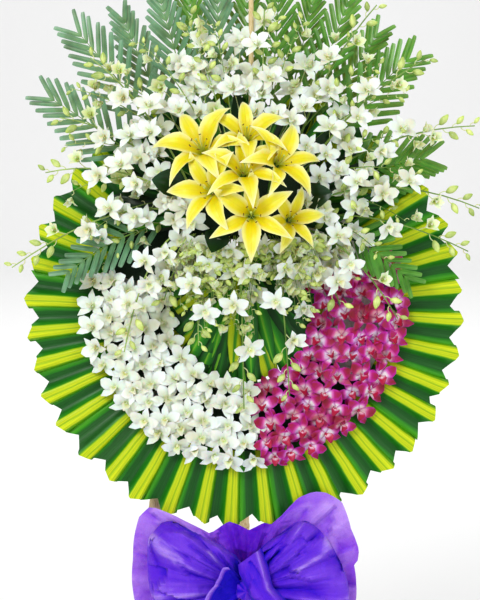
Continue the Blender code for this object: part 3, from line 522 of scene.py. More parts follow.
def petal_finish(name, along, rim, blush, scatter):
    """Orchid petal: thin wet tissue, so light scatters in it, with soft veins. along are the colours from the
    bloom's middle to the petal's tip, rim the colour of its edges, and blush shades whole blooms."""
    made = finish(name, Roughness=0.45, Subsurface_Weight=scatter, Subsurface_Scale=0.004, Sheen_Weight=0.15)
    own, _ = veined(made, 14, 1.2, 2, 0.3, 0.0006)
    place = add_node(made, "ShaderNodeTexCoord").outputs["Object"]
    cloud = add_node(made, "ShaderNodeTexNoise", {"Vector": place, "Scale": 22, "Detail": 2})
    shade = add_node(made, "ShaderNodeValToRGB", {"Fac": cloud}, stops=blush)
    edged, _ = rimmed(made, own, along, rim, 0.22, 0.85)
    tint = add_node(made, "ShaderNodeMix", {0: 1.0, 6: edged, 7: shade},
                    data_type="RGBA", blend_type="MULTIPLY")
    wear(made, Base_Color=tint.outputs[2])
    return made


WHITE_PETAL = petal_finish(
    "white_dendrobium_petal",
    ((0.0, "C6D678"), (0.15, "E8EEBE"), (0.34, "F8F8EA"), (1.0, "FCFBF4")), "FDFCF8",
    ((0.34, "EEEADC"), (0.56, "FFFFFF")), 0.3)
WHITE_LIP = petal_finish(
    "white_dendrobium_lip",
    ((0.0, "9DB03C"), (0.30, "CFD982"), (0.7, "EFF0D2"), (1.0, "FAF7EC")), "F6F3DC",
    ((0.35, "EDEBD8"), (0.6, "FFFFFF")), 0.3)
MAGENTA_PETAL = petal_finish(
    "magenta_dendrobium_petal",
    ((0.0, "FFFDFE"), (0.32, "FFF2FA"), (0.43, "EC78C4"), (0.54, "B8007A"), (0.7, "A8004C"), (0.9, "A6004A"),
     (1.0, "C20896")), "CA08B0",
    ((0.34, "D8808C"), (0.52, "FFFFFF"), (0.72, "F4C4FF")), 0.2)
MAGENTA_LIP = petal_finish(
    "magenta_dendrobium_lip",
    ((0.0, "F4E4B0"), (0.22, "FFF4F0"), (0.38, "F0B8D0"), (0.56, "C00848"), (1.0, "A8003C")), "C40C58",
    ((0.35, "F4E0EA"), (0.6, "FFFFFF")), 0.25)


def tilted(model, degrees, lean, out=0.0):
    """A petal's copy turned to its place round the bloom's middle, tipped forward by lean degrees."""
    turn = Matrix.Rotation(math.radians(degrees - 90), 4, "Z") @ Matrix.Translation((0, out, 0))
    return copy_of(model, turn @ Matrix.Rotation(math.radians(lean), 4, "X"))


def bloom_model(petal, lip, open_by, tongue_size=1.0):
    """A dendrobium bloom of unit radius, facing +Z, its top along +Y. open_by tips the petals forward."""
    sepal_rows = ((0, 0.10, 0), (0.36, 0.24, 0.06), (0.72, 0.21, 0.05), (1.05, 0.02, -0.07))
    petal_rows = ((0, 0.09, 0), (0.26, 0.25, 0.05), (0.58, 0.37, 0.09), (0.86, 0.29, 0.03),
                  (1.04, 0.05, -0.05))
    lip_rows = [(along * tongue_size, half * tongue_size, rise * tongue_size) for along, half, rise in
                ((0, 0.12, 0), (0.22, 0.23, 0.17), (0.42, 0.24, 0.21), (0.64, 0.08, 0.08))]
    shapes = []
    for rows, cup, material in ((sepal_rows, 0.22, petal), (petal_rows, 0.16, petal), (lip_rows, 0.75, lip)):
        blade(2, rows, lambda across: cup * across * across)
        shapes.append(back_and_close(0.02, 75, material))
    sepal, broad, tongue = shapes
    parts = [tilted(sepal, degrees, open_by) for degrees in (90, 214, 326)]
    parts += [tilted(broad, degrees, open_by + 8, 0.02) for degrees in (156, 24)]
    parts.append(tilted(tongue, 270, 52 + open_by * 0.5, 0.02))
    discard(*shapes)
    opened(bpy.ops.mesh.primitive_cone_add, vertices=5, radius1=0.10, radius2=0.07, depth=0.24,
           location=(0, 0.03, 0.14))
    parts.append(closed(0, lip))
    for shared in parts:
        only(shared)
        bpy.ops.object.transform_apply(location=True, rotation=True, scale=True)
    return joined(parts)


def face_on(direction, roll):
    """Right, up and forward of a flower that faces a direction, turned by roll about it."""
    forward = direction.normalized()
    up = Matrix.Rotation(roll, 3, forward) @ (UP - forward * UP.dot(forward)).normalized()
    return up.cross(forward), up, forward


def soaked_foam():
    """Phenolic flower foam, soaked: nearly black green, open-celled, so it is matt and pitted at 1 mm."""
    made = finish("soaked_flower_foam", Roughness=0.95)
    place = add_node(made, "ShaderNodeTexCoord").outputs["Object"]
    cells = add_node(made, "ShaderNodeTexNoise", {"Vector": place, "Scale": 700, "Detail": 3})
    colours = (0.3, "16281C"), (0.7, "28402E")
    tint = add_node(made, "ShaderNodeValToRGB", {"Fac": cells}, stops=colours)
    pits = add_node(made, "ShaderNodeBump", {"Height": cells, "Strength": 0.6, "Distance": 0.001})
    wear(made, Base_Color=tint, Normal=pits)
    return made


SOAKED_FOAM = soaked_foam()


def foam_arc(start, end):
    """The padded arc under the blooms, spun from its outline."""
    section = ((BAND_INNER, PAD_BACK), (BAND_INNER, 0.042), (BAND_INNER + 0.02, 0.050),
               (BAND_OUTER - 0.02, 0.050), (BAND_OUTER, 0.042), (BAND_OUTER, PAD_BACK))
    spun([on_disc(radius, start, depth) for radius, depth in section], 24, -(end - start), 0.00001)
    turn_outwards()
    return closed(0, SOAKED_FOAM)


white_blooms = [bloom_model(WHITE_PETAL, WHITE_LIP, lean) for lean in (8, 20, 34)]
magenta_blooms = [bloom_model(MAGENTA_PETAL, MAGENTA_LIP, lean, 1.05) for lean in (4, 14, 26)]
rng = random.Random(21)
slit = 0.35
for colour, half, start, end, models in (
    ("white", "upper", 165, 222, white_blooms), ("white", "lower", 222, 276, white_blooms),
    ("magenta", "lower", 276, 328, magenta_blooms), ("magenta", "upper", 328, 380, magenta_blooms),
):
    low, high = math.radians(start + slit), math.radians(end - slit)
    parts = [foam_arc(low, high)]
    for row, (radius, tilt, depth) in enumerate(BAND_ROWS):
        count = round((high - low) * radius / BLOOM_SPACING)
        for number in range(count):
            stagger = 0.3 if row % 2 else 0.7
            angle = low + (high - low) * (number + stagger) / count + rng.uniform(-0.02, 0.02)
            turn = math.radians(tilt + rng.uniform(-12, 12))
            heading = FRONT * math.cos(turn) + on_disc(1, angle) * math.sin(turn)
            heading += on_disc(1, angle + math.pi / 2) * rng.uniform(-0.25, 0.25)
            centre = on_disc(radius + rng.uniform(-0.004, 0.004), angle, depth + rng.uniform(-0.003, 0.005))
            turned = face_on(heading, rng.uniform(-0.7, 0.7))
            model = models[rng.choice((0, 0, 1, 1, 2))]
            parts.append(copy_of(model, facing(*turned, centre, BAND_BLOOM * rng.uniform(0.88, 1.06))))
    seat(joined(parts), f"{colour}_orchids_{half}", f"{colour}_orchid", f"{colour}_orchid_band_{half}")
discard(*magenta_blooms)

# Leaf fan
# Dracaena leaves pinned under the flower block and spread to close the ring's hole, in three rows, one over
# the other, so that no gap shows. Each is folded a little along its middle.
FAN_GREEN = striped_leaf("green_dracaena_leaf", (
    (0.0, "186A14"), (0.22, "1F8418"), (0.40, "3FA81C"), (0.5, "8CCB34"), (0.60, "3AA01C"), (0.80, "1C7A18"),
    (1.0, "145A16")))
FAN_YELLOW = striped_leaf("yellow_striped_dracaena_leaf", (
    (0.0, "2E8A16"), (0.10, "D2E010"), (0.34, "C6DA0C"), (0.42, "5FAE16"), (0.55, "2C8E18"), (0.66, "C8DC10"),
    (0.90, "D6E314"), (1.0, "3A9018")))
FAN_DARK = striped_leaf("dark_dracaena_leaf", (
    (0.0, "0E4A12"), (0.35, "145E16"), (0.5, "2C8420"), (0.65, "12581A"), (1.0, "0C4012")))

# (share of the length, half width, rise), in half widths, of a leaf that ends in a short point, and of one
# whose end is cut blunt
fan_rows = ((0, 0.45, 0.0), (0.15, 0.72, 0.1), (0.35, 0.95, 0.2), (0.58, 1.0, 0.25), (0.76, 0.86, 0.2),
            (0.89, 0.52, 0.0), (0.97, 0.18, -0.15), (1.0, 0.02, -0.2))
blunt_rows = [(along, half if along < 0.5 else max(half, 0.94 - 0.3 * (along - 0.5)), rise)
              for along, half, rise in fan_rows]
fan_models = []
for rows in (fan_rows, blunt_rows):
    blade(6, rows, lambda across: 0.30 * (1 - abs(across)))
    fan_models.append(back_and_close(0.03, 50))
fan_model, blunt_model = fan_models
YELLOW_ONES = (0.040, 7), (0.040, 14), (0.040, 19), (0.095, 3), (0.095, 9), (0.118, 6)
rng = random.Random(8)
leaves = []
# (hub height, first degree, spread, leaves, depth, half width, reach of the tips from the wreath's middle)
for hub_height, first, spread, count, depth, half, reach in (
    (0.040, 140, 260, 25, 0.0335, 0.025, 0.157),
    (0.095, 174, 192, 17, 0.0390, 0.019, 0.150),
    (0.118, 188, 164, 14, 0.0445, 0.017, 0.142),
):
    for number in range(count):
        angle = math.radians(first + spread * (number + 0.5) / count + rng.uniform(-2.5, 2.5))
        inward = -hub_height * math.sin(angle)
        length = inward + math.sqrt(inward * inward + reach**2 - hub_height**2) - 0.006
        length *= rng.uniform(0.93, 1.0)
        place = Matrix.Translation((0, 0, hub_height)) @ around_disc(angle, depth + rng.uniform(0, 0.004))
        width = half * (0.55 + 0.45 * min(length / 0.2, 1)) * rng.uniform(0.85, 1.15)
        sized = place @ Matrix.Translation((0, 0.006, 0)) @ Matrix.Diagonal((width, length, width * 0.7, 1))
        shape = blunt_model if hub_height < 0.1 else fan_model
        leaf = copy_of(shape, sized @ Matrix.Rotation(rng.uniform(-0.2, 0.2), 4, "Y"))
        kinds = (FAN_DARK, FAN_DARK, FAN_GREEN) if hub_height < 0.08 else (FAN_GREEN, FAN_GREEN, FAN_DARK)
        leaf.data.materials.append(FAN_YELLOW if (hub_height, number) in YELLOW_ONES else rng.choice(kinds))
        leaves.append(leaf)
discard(blunt_model)
seat(joined(leaves), "fan_of_leaves", "striped_leaf", "leaf_fan")

# Flower block
# A brick of soaked flower foam that every stem of the spray stands in. Its cut faces crumble a little.
FOAM_HALF_WIDTH, FOAM_BOTTOM, FOAM_TOP, FOAM_FRONT = 0.110, 0.140, 0.262, 0.150
opened(bpy.ops.mesh.primitive_cube_add, size=1,
       location=(0, -(FOAM_FRONT + PAD_BACK) / 2, (FOAM_TOP + FOAM_BOTTOM) / 2))
bpy.ops.transform.resize(value=(FOAM_HALF_WIDTH * 2, FOAM_FRONT - PAD_BACK, FOAM_TOP - FOAM_BOTTOM))
bpy.ops.mesh.bevel(offset=0.005, segments=2)
bpy.ops.mesh.subdivide(number_cuts=5)
bpy.ops.transform.vertex_random(offset=0.0007, seed=4)
seat(closed(35, SOAKED_FOAM), "flower_foam_block", "wet_foam", "foam_block")

# Palm fronds
# Ten fronds of a small palm stand behind the flowers, and five more fill in between them. Each has a rib
# and eleven pairs of folded leaflets, their ends cut straight. Those on the left are a cooler grey green.


def bezier(path, t):
    """A point of a quadratic curve, given by its start, its control point and its end."""
    start, control, end = path
    return start * (1 - t) ** 2 + control * 2 * t * (1 - t) + end * t * t


def along_path(path, steps):
    """Points at even steps of a curve."""
    return [bezier(path, i / steps) for i in range(steps + 1)]


def in_foam(start, toward):
    """A stem's foot, pushed 20 mm into the foam."""
    return start - (toward - start).normalized() * 0.02


def stalk(points, radii, material, roundness=1):
    """A round stem through points, with its radius at each."""
    line = bpy.data.curves.new("stalk", "CURVE")
    line.dimensions, line.bevel_depth, line.bevel_resolution, line.use_fill_caps = "3D", 1.0, roundness, True
    spline = line.splines.new("POLY")
    spline.points.add(len(points) - 1)
    for knot, place, radius in zip(spline.points, points, radii):
        knot.co, knot.radius = (*place, 1), radius
    made = bpy.data.objects.new("stalk", line)
    bpy.context.scene.collection.objects.link(made)
    only(made)
    bpy.ops.object.convert(target="MESH")
    bpy.ops.object.mode_set(mode="EDIT")
    weld(0.00001)
    return closed(60, material)


def fresh_leaf(name, along, ribs, gloss):
    """A green leaf: fine veins along it, colours from its foot to its tip, and lighter and darker places."""
    made = finish(name, Roughness=gloss, Subsurface_Weight=0.08, Subsurface_Scale=0.003)
    own, veins = veined(made, ribs, 1.0, 3, 0.3, 0.0006)
    colours = add_node(made, "ShaderNodeValToRGB", {"Fac": own.outputs["Y"]}, stops=along)
    place = add_node(made, "ShaderNodeTexCoord").outputs["Object"]
    cloud = add_node(made, "ShaderNodeTexNoise", {"Vector": place, "Scale": 30, "Detail": 2})
    mixed = add_node(made, "ShaderNodeMath", {0: veins, 1: cloud}, operation="MULTIPLY")
    shade = add_node(made, "ShaderNodeValToRGB", {"Fac": mixed}, stops=((0.10, "A4B4A0"), (0.34, "FFFFFF")))
    tint = add_node(made, "ShaderNodeMix", {0: 1.0, 6: colours, 7: shade}, data_type="RGBA",
                    blend_type="MULTIPLY")
    wear(made, Base_Color=tint.outputs[2])
    return made


GREY_PALM = fresh_leaf(
    "grey_green_palm_leaflet", ((0.0, "7CA86A"), (0.5, "70A27A"), (1.0, "98BEA4")), 12, 0.4)
GREEN_PALM = fresh_leaf("green_palm_leaflet", ((0.0, "68AC38"), (0.5, "589F36"), (1.0, "80B858")), 12, 0.35)
PALM_RIB = finish("palm_rib", Base_Color=linear("7FA34E"), Roughness=0.4)

leaflet_rows = ((0, 0.30, 0), (0.06, 0.62, 0), (0.2, 0.95, 0.02), (0.5, 1.0, 0.035), (0.9, 0.90, 0.0),
                (0.98, 0.74, -0.03), (1.0, 0.45, -0.04))
leaflet_models = []
for leaf_finish in (GREY_PALM, GREEN_PALM):
    blade(2, leaflet_rows, lambda across: 0.42 * abs(across))
    leaflet_models.append(back_and_close(0.012, 25, leaf_finish))


def frond(path, longest, angle, bare, leaflet, rng):
    """A frond. longest is its longest leaflet, angle theirs to the rib, and bare the rib's bare share."""
    path = [Vector(point) for point in path]
    pairs, shortening, droop, half_width = 11, 0.45, 0.045, 0.0062
    spine = [in_foam(*path[:2]), *along_path(path, 12)]
    parts = [stalk(spine, [0.0028 - 0.0021 * i / 13 for i in range(14)], PALM_RIB)]
    for pair in range(pairs):
        share = pair / (pairs - 1)
        t = bare + 0.01 + (0.99 - bare) * share**0.8
        point = bezier(path, t)
        along = (bezier(path, t + 0.01) - point).normalized()
        side = along.cross(FRONT).normalized()
        for hand in (-1, 1):
            length = longest * (1 - shortening * share) * min(0.62 + share * 5, 1) * rng.uniform(0.95, 1.02)
            turn = angle * (1 - 0.40 * share) + rng.uniform(-0.05, 0.05)
            heading = along * math.cos(turn) + side * hand * math.sin(turn)
            heading = (heading - FRONT * (droop + rng.uniform(-0.08, 0.06))).normalized()
            normal = FRONT - side * hand * 0.30 - heading * heading.dot(FRONT - side * hand * 0.30)
            normal = (Matrix.Rotation(rng.uniform(-0.2, 0.2), 3, heading) @ normal).normalized()
            width = half_width * (1 - 0.18 * share)
            place = facing(heading.cross(normal), heading, normal, point + FRONT * 0.001)
            parts.append(copy_of(leaflet, place @ Matrix.Diagonal((width, length, width, 1))))
    return joined(parts)


full = 0.108, math.radians(48), 0.30
tall = 0.094, math.radians(40), 0.30
hanging = 0.082, math.radians(50), 0.24
left, right, top, low = -FOAM_HALF_WIDTH, FOAM_HALF_WIDTH, FOAM_TOP, FOAM_BOTTOM
rng = random.Random(11)
for name, *path, cut, kind in (
    ("frond_top_left", (-0.075, -0.074, top), (-0.12, -0.080, 0.46), (-0.165, -0.060, 0.610), tall, 0),
    ("frond_top_mid_left", (-0.030, -0.056, top), (-0.045, -0.060, 0.47), (-0.055, -0.040, 0.630), tall, 0),
    ("frond_top_mid_right", (0.040, -0.074, top), (0.060, -0.080, 0.47), (0.070, -0.062, 0.630), tall, 1),
    ("frond_top_right", (0.085, -0.056, top), (0.145, -0.062, 0.45), (0.205, -0.046, 0.605), tall, 1),
    ("frond_left_high", (left, -0.058, 0.245), (-0.22, -0.064, 0.43), (-0.325, -0.060, 0.545), full, 0),
    ("frond_left", (left, -0.074, 0.215), (-0.24, -0.082, 0.33), (-0.378, -0.078, 0.415), full, 0),
    ("frond_right_high", (right, -0.074, 0.240), (0.21, -0.082, 0.40), (0.322, -0.078, 0.492), full, 1),
    ("frond_right", (right, -0.058, 0.210), (0.24, -0.064, 0.28), (0.352, -0.060, 0.300), full, 1),
    ("frond_left_low", (left, -0.074, 0.170), (-0.23, -0.100, 0.172), (-0.345, -0.104, 0.075), hanging, 0),
    ("frond_right_low", (right, -0.074, 0.165), (0.21, -0.100, 0.165), (0.318, -0.104, 0.065), hanging, 1),
):
    made = frond(path, *cut, leaflet_models[kind], rng)
    seat(made, name.replace("frond", "palm_frond"), "palm_leaf", name)
parts = []
for *path, cut, kind in (
    ((-0.050, -0.040, top), (-0.085, -0.045, 0.46), (-0.110, -0.026, 0.612), tall, 1),
    ((0.004, -0.040, top), (0.008, -0.045, 0.46), (0.006, -0.024, 0.622), tall, 1),
    ((0.062, -0.040, top), (0.100, -0.045, 0.46), (0.137, -0.026, 0.612), tall, 1),
    ((0.095, -0.040, 0.255), (0.180, -0.045, 0.42), (0.262, -0.030, 0.545), tall, 1),
    ((-0.100, -0.040, 0.255), (-0.175, -0.045, 0.43), (-0.240, -0.030, 0.575), tall, 0),
):
    parts.append(frond(path, *cut, leaflet_models[kind], rng))
seat(joined(parts), "filling_palm_fronds", "palm_leaf")
discard(*leaflet_models)

# Orchid sprays
# Eighteen stems of white dendrobium. Each arches out of the foam with open blooms on thin curved stalks,
# then plump green buds that grow smaller to its tip.
ORCHID_STEM = fresh_leaf("orchid_stem", ((0.0, "6F9A3A"), (1.0, "B8D078")), 3, 0.4)
BLOOM_STALK = finish("orchid_bloom_stalk", Base_Color=linear("D6DFA8"), Roughness=0.4, Subsurface_Weight=0.2,
                     Subsurface_Scale=0.003)
BUD = fresh_leaf("orchid_bud", ((0.0, "D0E870"), (0.5, "E8F4A0"), (1.0, "C2DE58")), 4, 0.35)
opened(bpy.ops.mesh.primitive_uv_sphere_add, segments=8, ring_count=6, radius=1)
for height, size, shift in (
    (1.0, 1, 0.25), (0.866, 0.75, 0.18), (0.5, 0.92, 0.06), (-0.5, 0.88, 0), (-0.866, 0.7, 0),
):
    pick("VERT", lambda corner: abs(corner.co.z - height) < 0.01)
    bpy.ops.transform.resize(value=(size, size, 1), center_override=(0, 0, height))
    bpy.ops.transform.translate(value=(0, 0, shift))
bud_model = closed(0, BUD)
bpy.ops.object.shade_smooth()
YOUNG_PETAL = petal_finish(
    "half_open_dendrobium_petal",
    ((0.0, "A2BC40"), (0.25, "CCDC7C"), (0.6, "EAF0BE"), (1.0, "F6F6DE")), "F4F5DC",
    ((0.34, "E8EAC8"), (0.56, "FFFFFF")), 0.3)
white_blooms.append(bloom_model(YOUNG_PETAL, WHITE_LIP, 50))
SPRAY_BLOOM = 0.032
MIDDLE_OF_FOAM = Vector((0, 0, 0.20))
bloom_centres = []
stalk_model = stalk([Vector((0, 0.003 * math.sin(math.pi * i / 4), i / 4)) for i in range(5)],
                    (0.0013, 0.0010, 0.0009, 0.0010, 0.0014), BLOOM_STALK, 0)


def bloom_stalk(start, end, pull):
    """The thin stalk from the stem to a bloom's or bud's back, bowed the way it is pulled."""
    along = end - start
    bow = along.cross(pull.cross(along) + UP * 1e-6).normalized()
    place = facing(bow.cross(along).normalized(), bow, along.normalized(), start)
    return copy_of(stalk_model, place @ Matrix.Diagonal((1, 1, along.length, 1)))


def spray(curve, blooms, buds, rng, loose):
    """An arching stem with its blooms and buds. rng places them, and loose varies their looks."""
    curve = [Vector(point) for point in curve]
    spans = 5
    path = along_path(curve, spans)
    line = [in_foam(*path[:2]), *along_path(curve, 11)]
    parts = [stalk(line, [0.0026 - 0.0014 * i / 12 for i in range(13)], ORCHID_STEM)]
    for i in range(blooms + buds):
        if i < blooms:
            t = 0.34 + 0.42 * i / max(blooms - 1, 1)
        else:
            t = 0.76 + 0.225 * (i - blooms + 1) / buds
        at = min(int(t * spans), spans - 1)
        point = path[at].lerp(path[at + 1], t * spans - at)
        along = (path[at + 1] - path[at]).normalized()
        side = along.cross(FRONT).normalized() * (1 if i % 2 else -1)
        if i < blooms:
            outward = Vector((point.x, 0, point.z)) - MIDDLE_OF_FOAM
            heading = FRONT + outward.normalized() * 0.38 + side * 0.30 + UP * rng.uniform(-0.1, 0.15)
            centre = point + side * 0.013 + FRONT * 0.015 + along * 0.004
            turned = face_on(heading, rng.uniform(-0.45, 0.45))
            model = white_blooms[loose.choice((0, 0, 1, 1, 2))]
            size = SPRAY_BLOOM * loose.uniform(0.94, 1.05)
            if i == blooms - 1 and abs(curve[2].x) > 0.25:
                model, size = white_blooms[3], size * 0.8
            bloom_centres.append(centre)
            parts.append(copy_of(model, facing(*turned, centre, size)))
            parts.append(bloom_stalk(point - along * 0.012, centre - turned[2] * 0.001, -turned[2] * 0.012))
        else:
            size = 1.0 - 0.5 * (i - blooms) / buds
            heading = (side * 0.66 + along * 0.66 + FRONT * 0.28).normalized()
            centre = point + heading * 0.024 * size
            turned = face_on(heading, loose.uniform(-0.3, 0.3))
            shape = Matrix.Diagonal((0.0076 * size, 0.0078 * size, 0.0124 * size, 1))
            parts.append(copy_of(bud_model, facing(*turned, centre) @ shape))
            parts.append(bloom_stalk(point - along * 0.004, centre - heading * 0.0095 * size, side * 0.002))
    return joined(parts)


rng, loose = random.Random(5), random.Random(6)
near, far = -0.122, -0.094
for name, *curve, blooms, buds in (
    ("spray_top", (0.034, near, top), (0.035, -0.165, 0.43), (0.040, -0.135, 0.590), 3, 3),
    ("spray_top_left", (-0.060, far, top), (-0.075, -0.125, 0.45), (-0.110, -0.110, 0.580), 4, 2),
    ("spray_top_right", (0.090, far, top), (0.130, -0.125, 0.45), (0.262, -0.120, 0.600), 4, 4),
    ("spray_right_high", (right, near, 0.245), (0.190, -0.160, 0.40), (0.362, -0.145, 0.494), 4, 4),
    ("spray_right_upper", (right, far, 0.222), (0.250, -0.125, 0.355), (0.456, -0.115, 0.362), 4, 5),
    ("spray_right_middle", (right, near, 0.198), (0.260, -0.165, 0.280), (0.462, -0.140, 0.198), 4, 5),
    ("spray_right_lower", (right, far, 0.178), (0.250, -0.135, 0.210), (0.442, -0.120, 0.114), 3, 5),
    ("spray_right_hanging", (right, near, 0.158), (0.200, -0.175, 0.150), (0.302, -0.135, -0.018), 3, 4),
    ("spray_left_high", (left, near, 0.248), (-0.190, -0.158, 0.41), (-0.302, -0.140, 0.494), 4, 4),
    ("spray_left_upper", (left, far, 0.230), (-0.230, -0.125, 0.36), (-0.364, -0.115, 0.378), 4, 3),
    ("spray_left_middle", (left, near, 0.208), (-0.240, -0.165, 0.30), (-0.390, -0.140, 0.268), 4, 4),
    ("spray_left_lower", (left, far, 0.188), (-0.240, -0.135, 0.235), (-0.458, -0.120, 0.082), 4, 6),
    ("spray_left_hanging", (left, near, 0.16), (-0.192, -0.172, 0.138), (-0.236, -0.126, -0.084), 4, 4),
    ("spray_mid_left_hanging", (-0.068, near, low), (-0.096, -0.184, 0.09), (-0.090, -0.114, -0.072), 3, 4),
    ("spray_mid_hanging", (-0.010, near, low), (-0.006, -0.190, 0.09), (0.000, -0.100, -0.198), 3, 5),
    ("spray_mid_right_hanging", (0.055, near, low), (0.074, -0.185, 0.09), (0.09, -0.105, -0.172), 3, 5),
    ("spray_under_lilies", (0.098, far, low), (0.150, -0.150, 0.10), (0.190, -0.118, 0.010), 3, 2),
    ("spray_beside_lilies", (-0.095, far, low), (-0.135, -0.150, 0.10), (-0.158, -0.110, 0.018), 2, 2),
):
    made = spray(curve, blooms, buds, rng, loose)
    seat(made, name.replace("spray", "orchid_spray"), "white_orchid", name)

# Lilies
# Seven yellow lilies, each of three broad inner tepals over three narrow outer ones, curled back at the tip
# and paler along their edges, round a green throat with six stamens and a pistil.


def lily_petal():
    """Lily tepal: satin smooth, deep yellow down the middle, cream at edge and tip, green in the throat."""
    made = finish("yellow_lily_tepal", Roughness=0.42, Subsurface_Weight=0.2, Subsurface_Scale=0.004)
    own, _ = veined(made, 26, 1.5, 3, 0.35, 0.0008)
    along = ((0.0, "5E7A1E"), (0.13, "B9C024"), (0.26, "E6CF06"), (0.52, "ECDC12"), (0.74, "F2E65A"),
             (1.0, "F9F5CE"))
    edged, aside = rimmed(made, own, along, "FBF4B4", 0.24, 0.8)
    rib = add_node(made, "ShaderNodeMapRange", {"Value": aside, "From Min": 0.0, "From Max": 0.06,
                                                "To Min": 0.5, "To Max": 0.0})
    ribbed = add_node(made, "ShaderNodeMix", {0: rib, 6: edged, 7: linear("E2CE0A")}, data_type="RGBA")
    wear(made, Base_Color=ribbed.outputs[2])
    return made


LILY_TEPAL = lily_petal()
LILY_STEM = fresh_leaf("lily_stem", ((0.0, "3F6A22"), (1.0, "6F9A34")), 4, 0.4)
LILY_FILAMENT = finish("lily_filament", Base_Color=linear("B9C765"), Roughness=0.4)
LILY_ANTHER = finish("lily_anther", Base_Color=linear("7A5A1C"), Roughness=0.9)
# (spread from the middle, half width, rise) of a tepal's rows
tepal_rows = ((0.001, 0.0050, 0.000), (0.006, 0.0100, 0.013), (0.014, 0.0150, 0.027), (0.026, 0.0216, 0.0395),
              (0.039, 0.0232, 0.0480), (0.053, 0.0210, 0.0525), (0.068, 0.0160, 0.0530),
               (0.082, 0.0104, 0.0490),
              (0.094, 0.0050, 0.0420), (0.103, 0.0008, 0.0350))


def tepal(width, seed):
    """One tepal, its edges waved."""
    wave = 0.007
    rows = [(spread, half * width, rise) for spread, half, rise in tepal_rows]
    made = blade(8, rows, lambda x: 0.34 * x * x - 0.10 * max(0, 1 - 4 * abs(x)))
    cage = bmesh.from_edit_mesh(made.data)
    for corner in cage.verts:
        ruffle = noise.noise(Vector((corner.co.y * 60, corner.co.x * 30, seed))) * wave
        corner.co.z += ruffle * (abs(corner.co.x) / 0.017) ** 1.5
    bmesh.update_edit_mesh(made.data)
    return back_and_close(0.0006, 60, LILY_TEPAL)


def lily(scale, seed):
    """A lily with its throat's foot at the origin, facing +Z."""
    loose = random.Random(seed)
    parts = []
    for k in range(6):
        broad = k % 2
        shape = tepal(0.92 if broad else 0.74, seed * 7 + k)
        lean = Matrix.Rotation(loose.uniform(-0.05, 0.05), 4, "X")
        drop = Matrix.Translation((0, 0, 0.0015 if broad else -0.001))
        turn = Matrix.Rotation(math.radians(60 * k - 90) + loose.uniform(-0.05, 0.05), 4, "Z")
        shape.matrix_world = turn @ drop @ lean
        parts.append(shape)
    for k in range(6):
        turn = math.radians(60 * k + 30) + loose.uniform(-0.15, 0.15)
        outward = Vector((math.cos(turn), math.sin(turn), 0))
        end = outward * loose.uniform(0.016, 0.021) + UP * loose.uniform(0.050, 0.056)
        places = along_path((UP * 0.006, outward * 0.004 + UP * 0.035, end), 4)
        parts.append(stalk(places, (0.0010, 0.0009, 0.0008, 0.0007, 0.0006), LILY_FILAMENT, 0))
        opened(bpy.ops.mesh.primitive_uv_sphere_add, segments=8, ring_count=5, radius=0.0018,
               location=end, rotation=(0.2, 0.4, turn + math.pi / 2))
        anther = closed(0, LILY_ANTHER)
        anther.scale = (2.0, 0.7, 0.6)
        parts.append(anther)
    pistil = [UP * 0.004, UP * 0.035, UP * 0.056 + Vector((0.002, 0.001, 0)),
              UP * 0.060 + Vector((0.003, 0.001, 0))]
    parts.append(stalk(pistil, (0.0022, 0.0014, 0.0013, 0.0028), LILY_FILAMENT, 1))
    return joined(parts)


# the flowers stand on a dome, each a little before or behind it, and look aside and upward
DOME, DOME_RADIUS = Vector((0.008, -0.090, 0.258)), 0.150
for number, (name, x, z, roll, scale, forward, aside, upward) in enumerate((
    ("lily_upper_left", -0.076, 0.294, 36, 0.98, -0.005, -0.40, 0.72),
    ("lily_upper", 0.004, 0.322, 4, 0.84, -0.015, 0.05, 0.72),
    ("lily_right", 0.056, 0.272, 34, 0.86, 0.0, 0.50, 0.48),
    ("lily_centre", -0.002, 0.250, 4, 0.86, 0.010, 0.10, 0.58),
    ("lily_left", -0.050, 0.226, 30, 0.86, 0.012, -0.40, 0.12),
    ("lily_lower", 0.013, 0.188, 0, 0.88, 0.022, 0.0, 0.04),
    ("lily_lower_right", 0.080, 0.174, -22, 0.68, 0.006, 0.30, 0.15),
)):
    offset = Vector((x - DOME.x, 0, z - DOME.z))
    outward = Vector((offset.x, -math.sqrt(DOME_RADIUS**2 - offset.length_squared), offset.z)).normalized()
    base = DOME + outward * (DOME_RADIUS + forward)
    heading = Vector((aside, -1, upward)).normalized()
    flower = lily(scale, number + 1)
    flower.matrix_world = facing(*face_on(heading, math.radians(roll)), base, scale)
    foot = Vector((base.x * 0.8, -FOAM_FRONT, FOAM_BOTTOM + 0.018 + (base.z - 0.186) * 0.54))
    line = in_foam(foot, base), foot, foot.lerp(base, 0.7), base - heading * 0.002, base + heading * 0.012
    stem = stalk(line, (0.0032, 0.0034, 0.0042, 0.0048, 0.0066), LILY_STEM, 2)
    seat(joined([flower, stem]), name.replace("lily", "yellow_lily"), "yellow_lily", name)

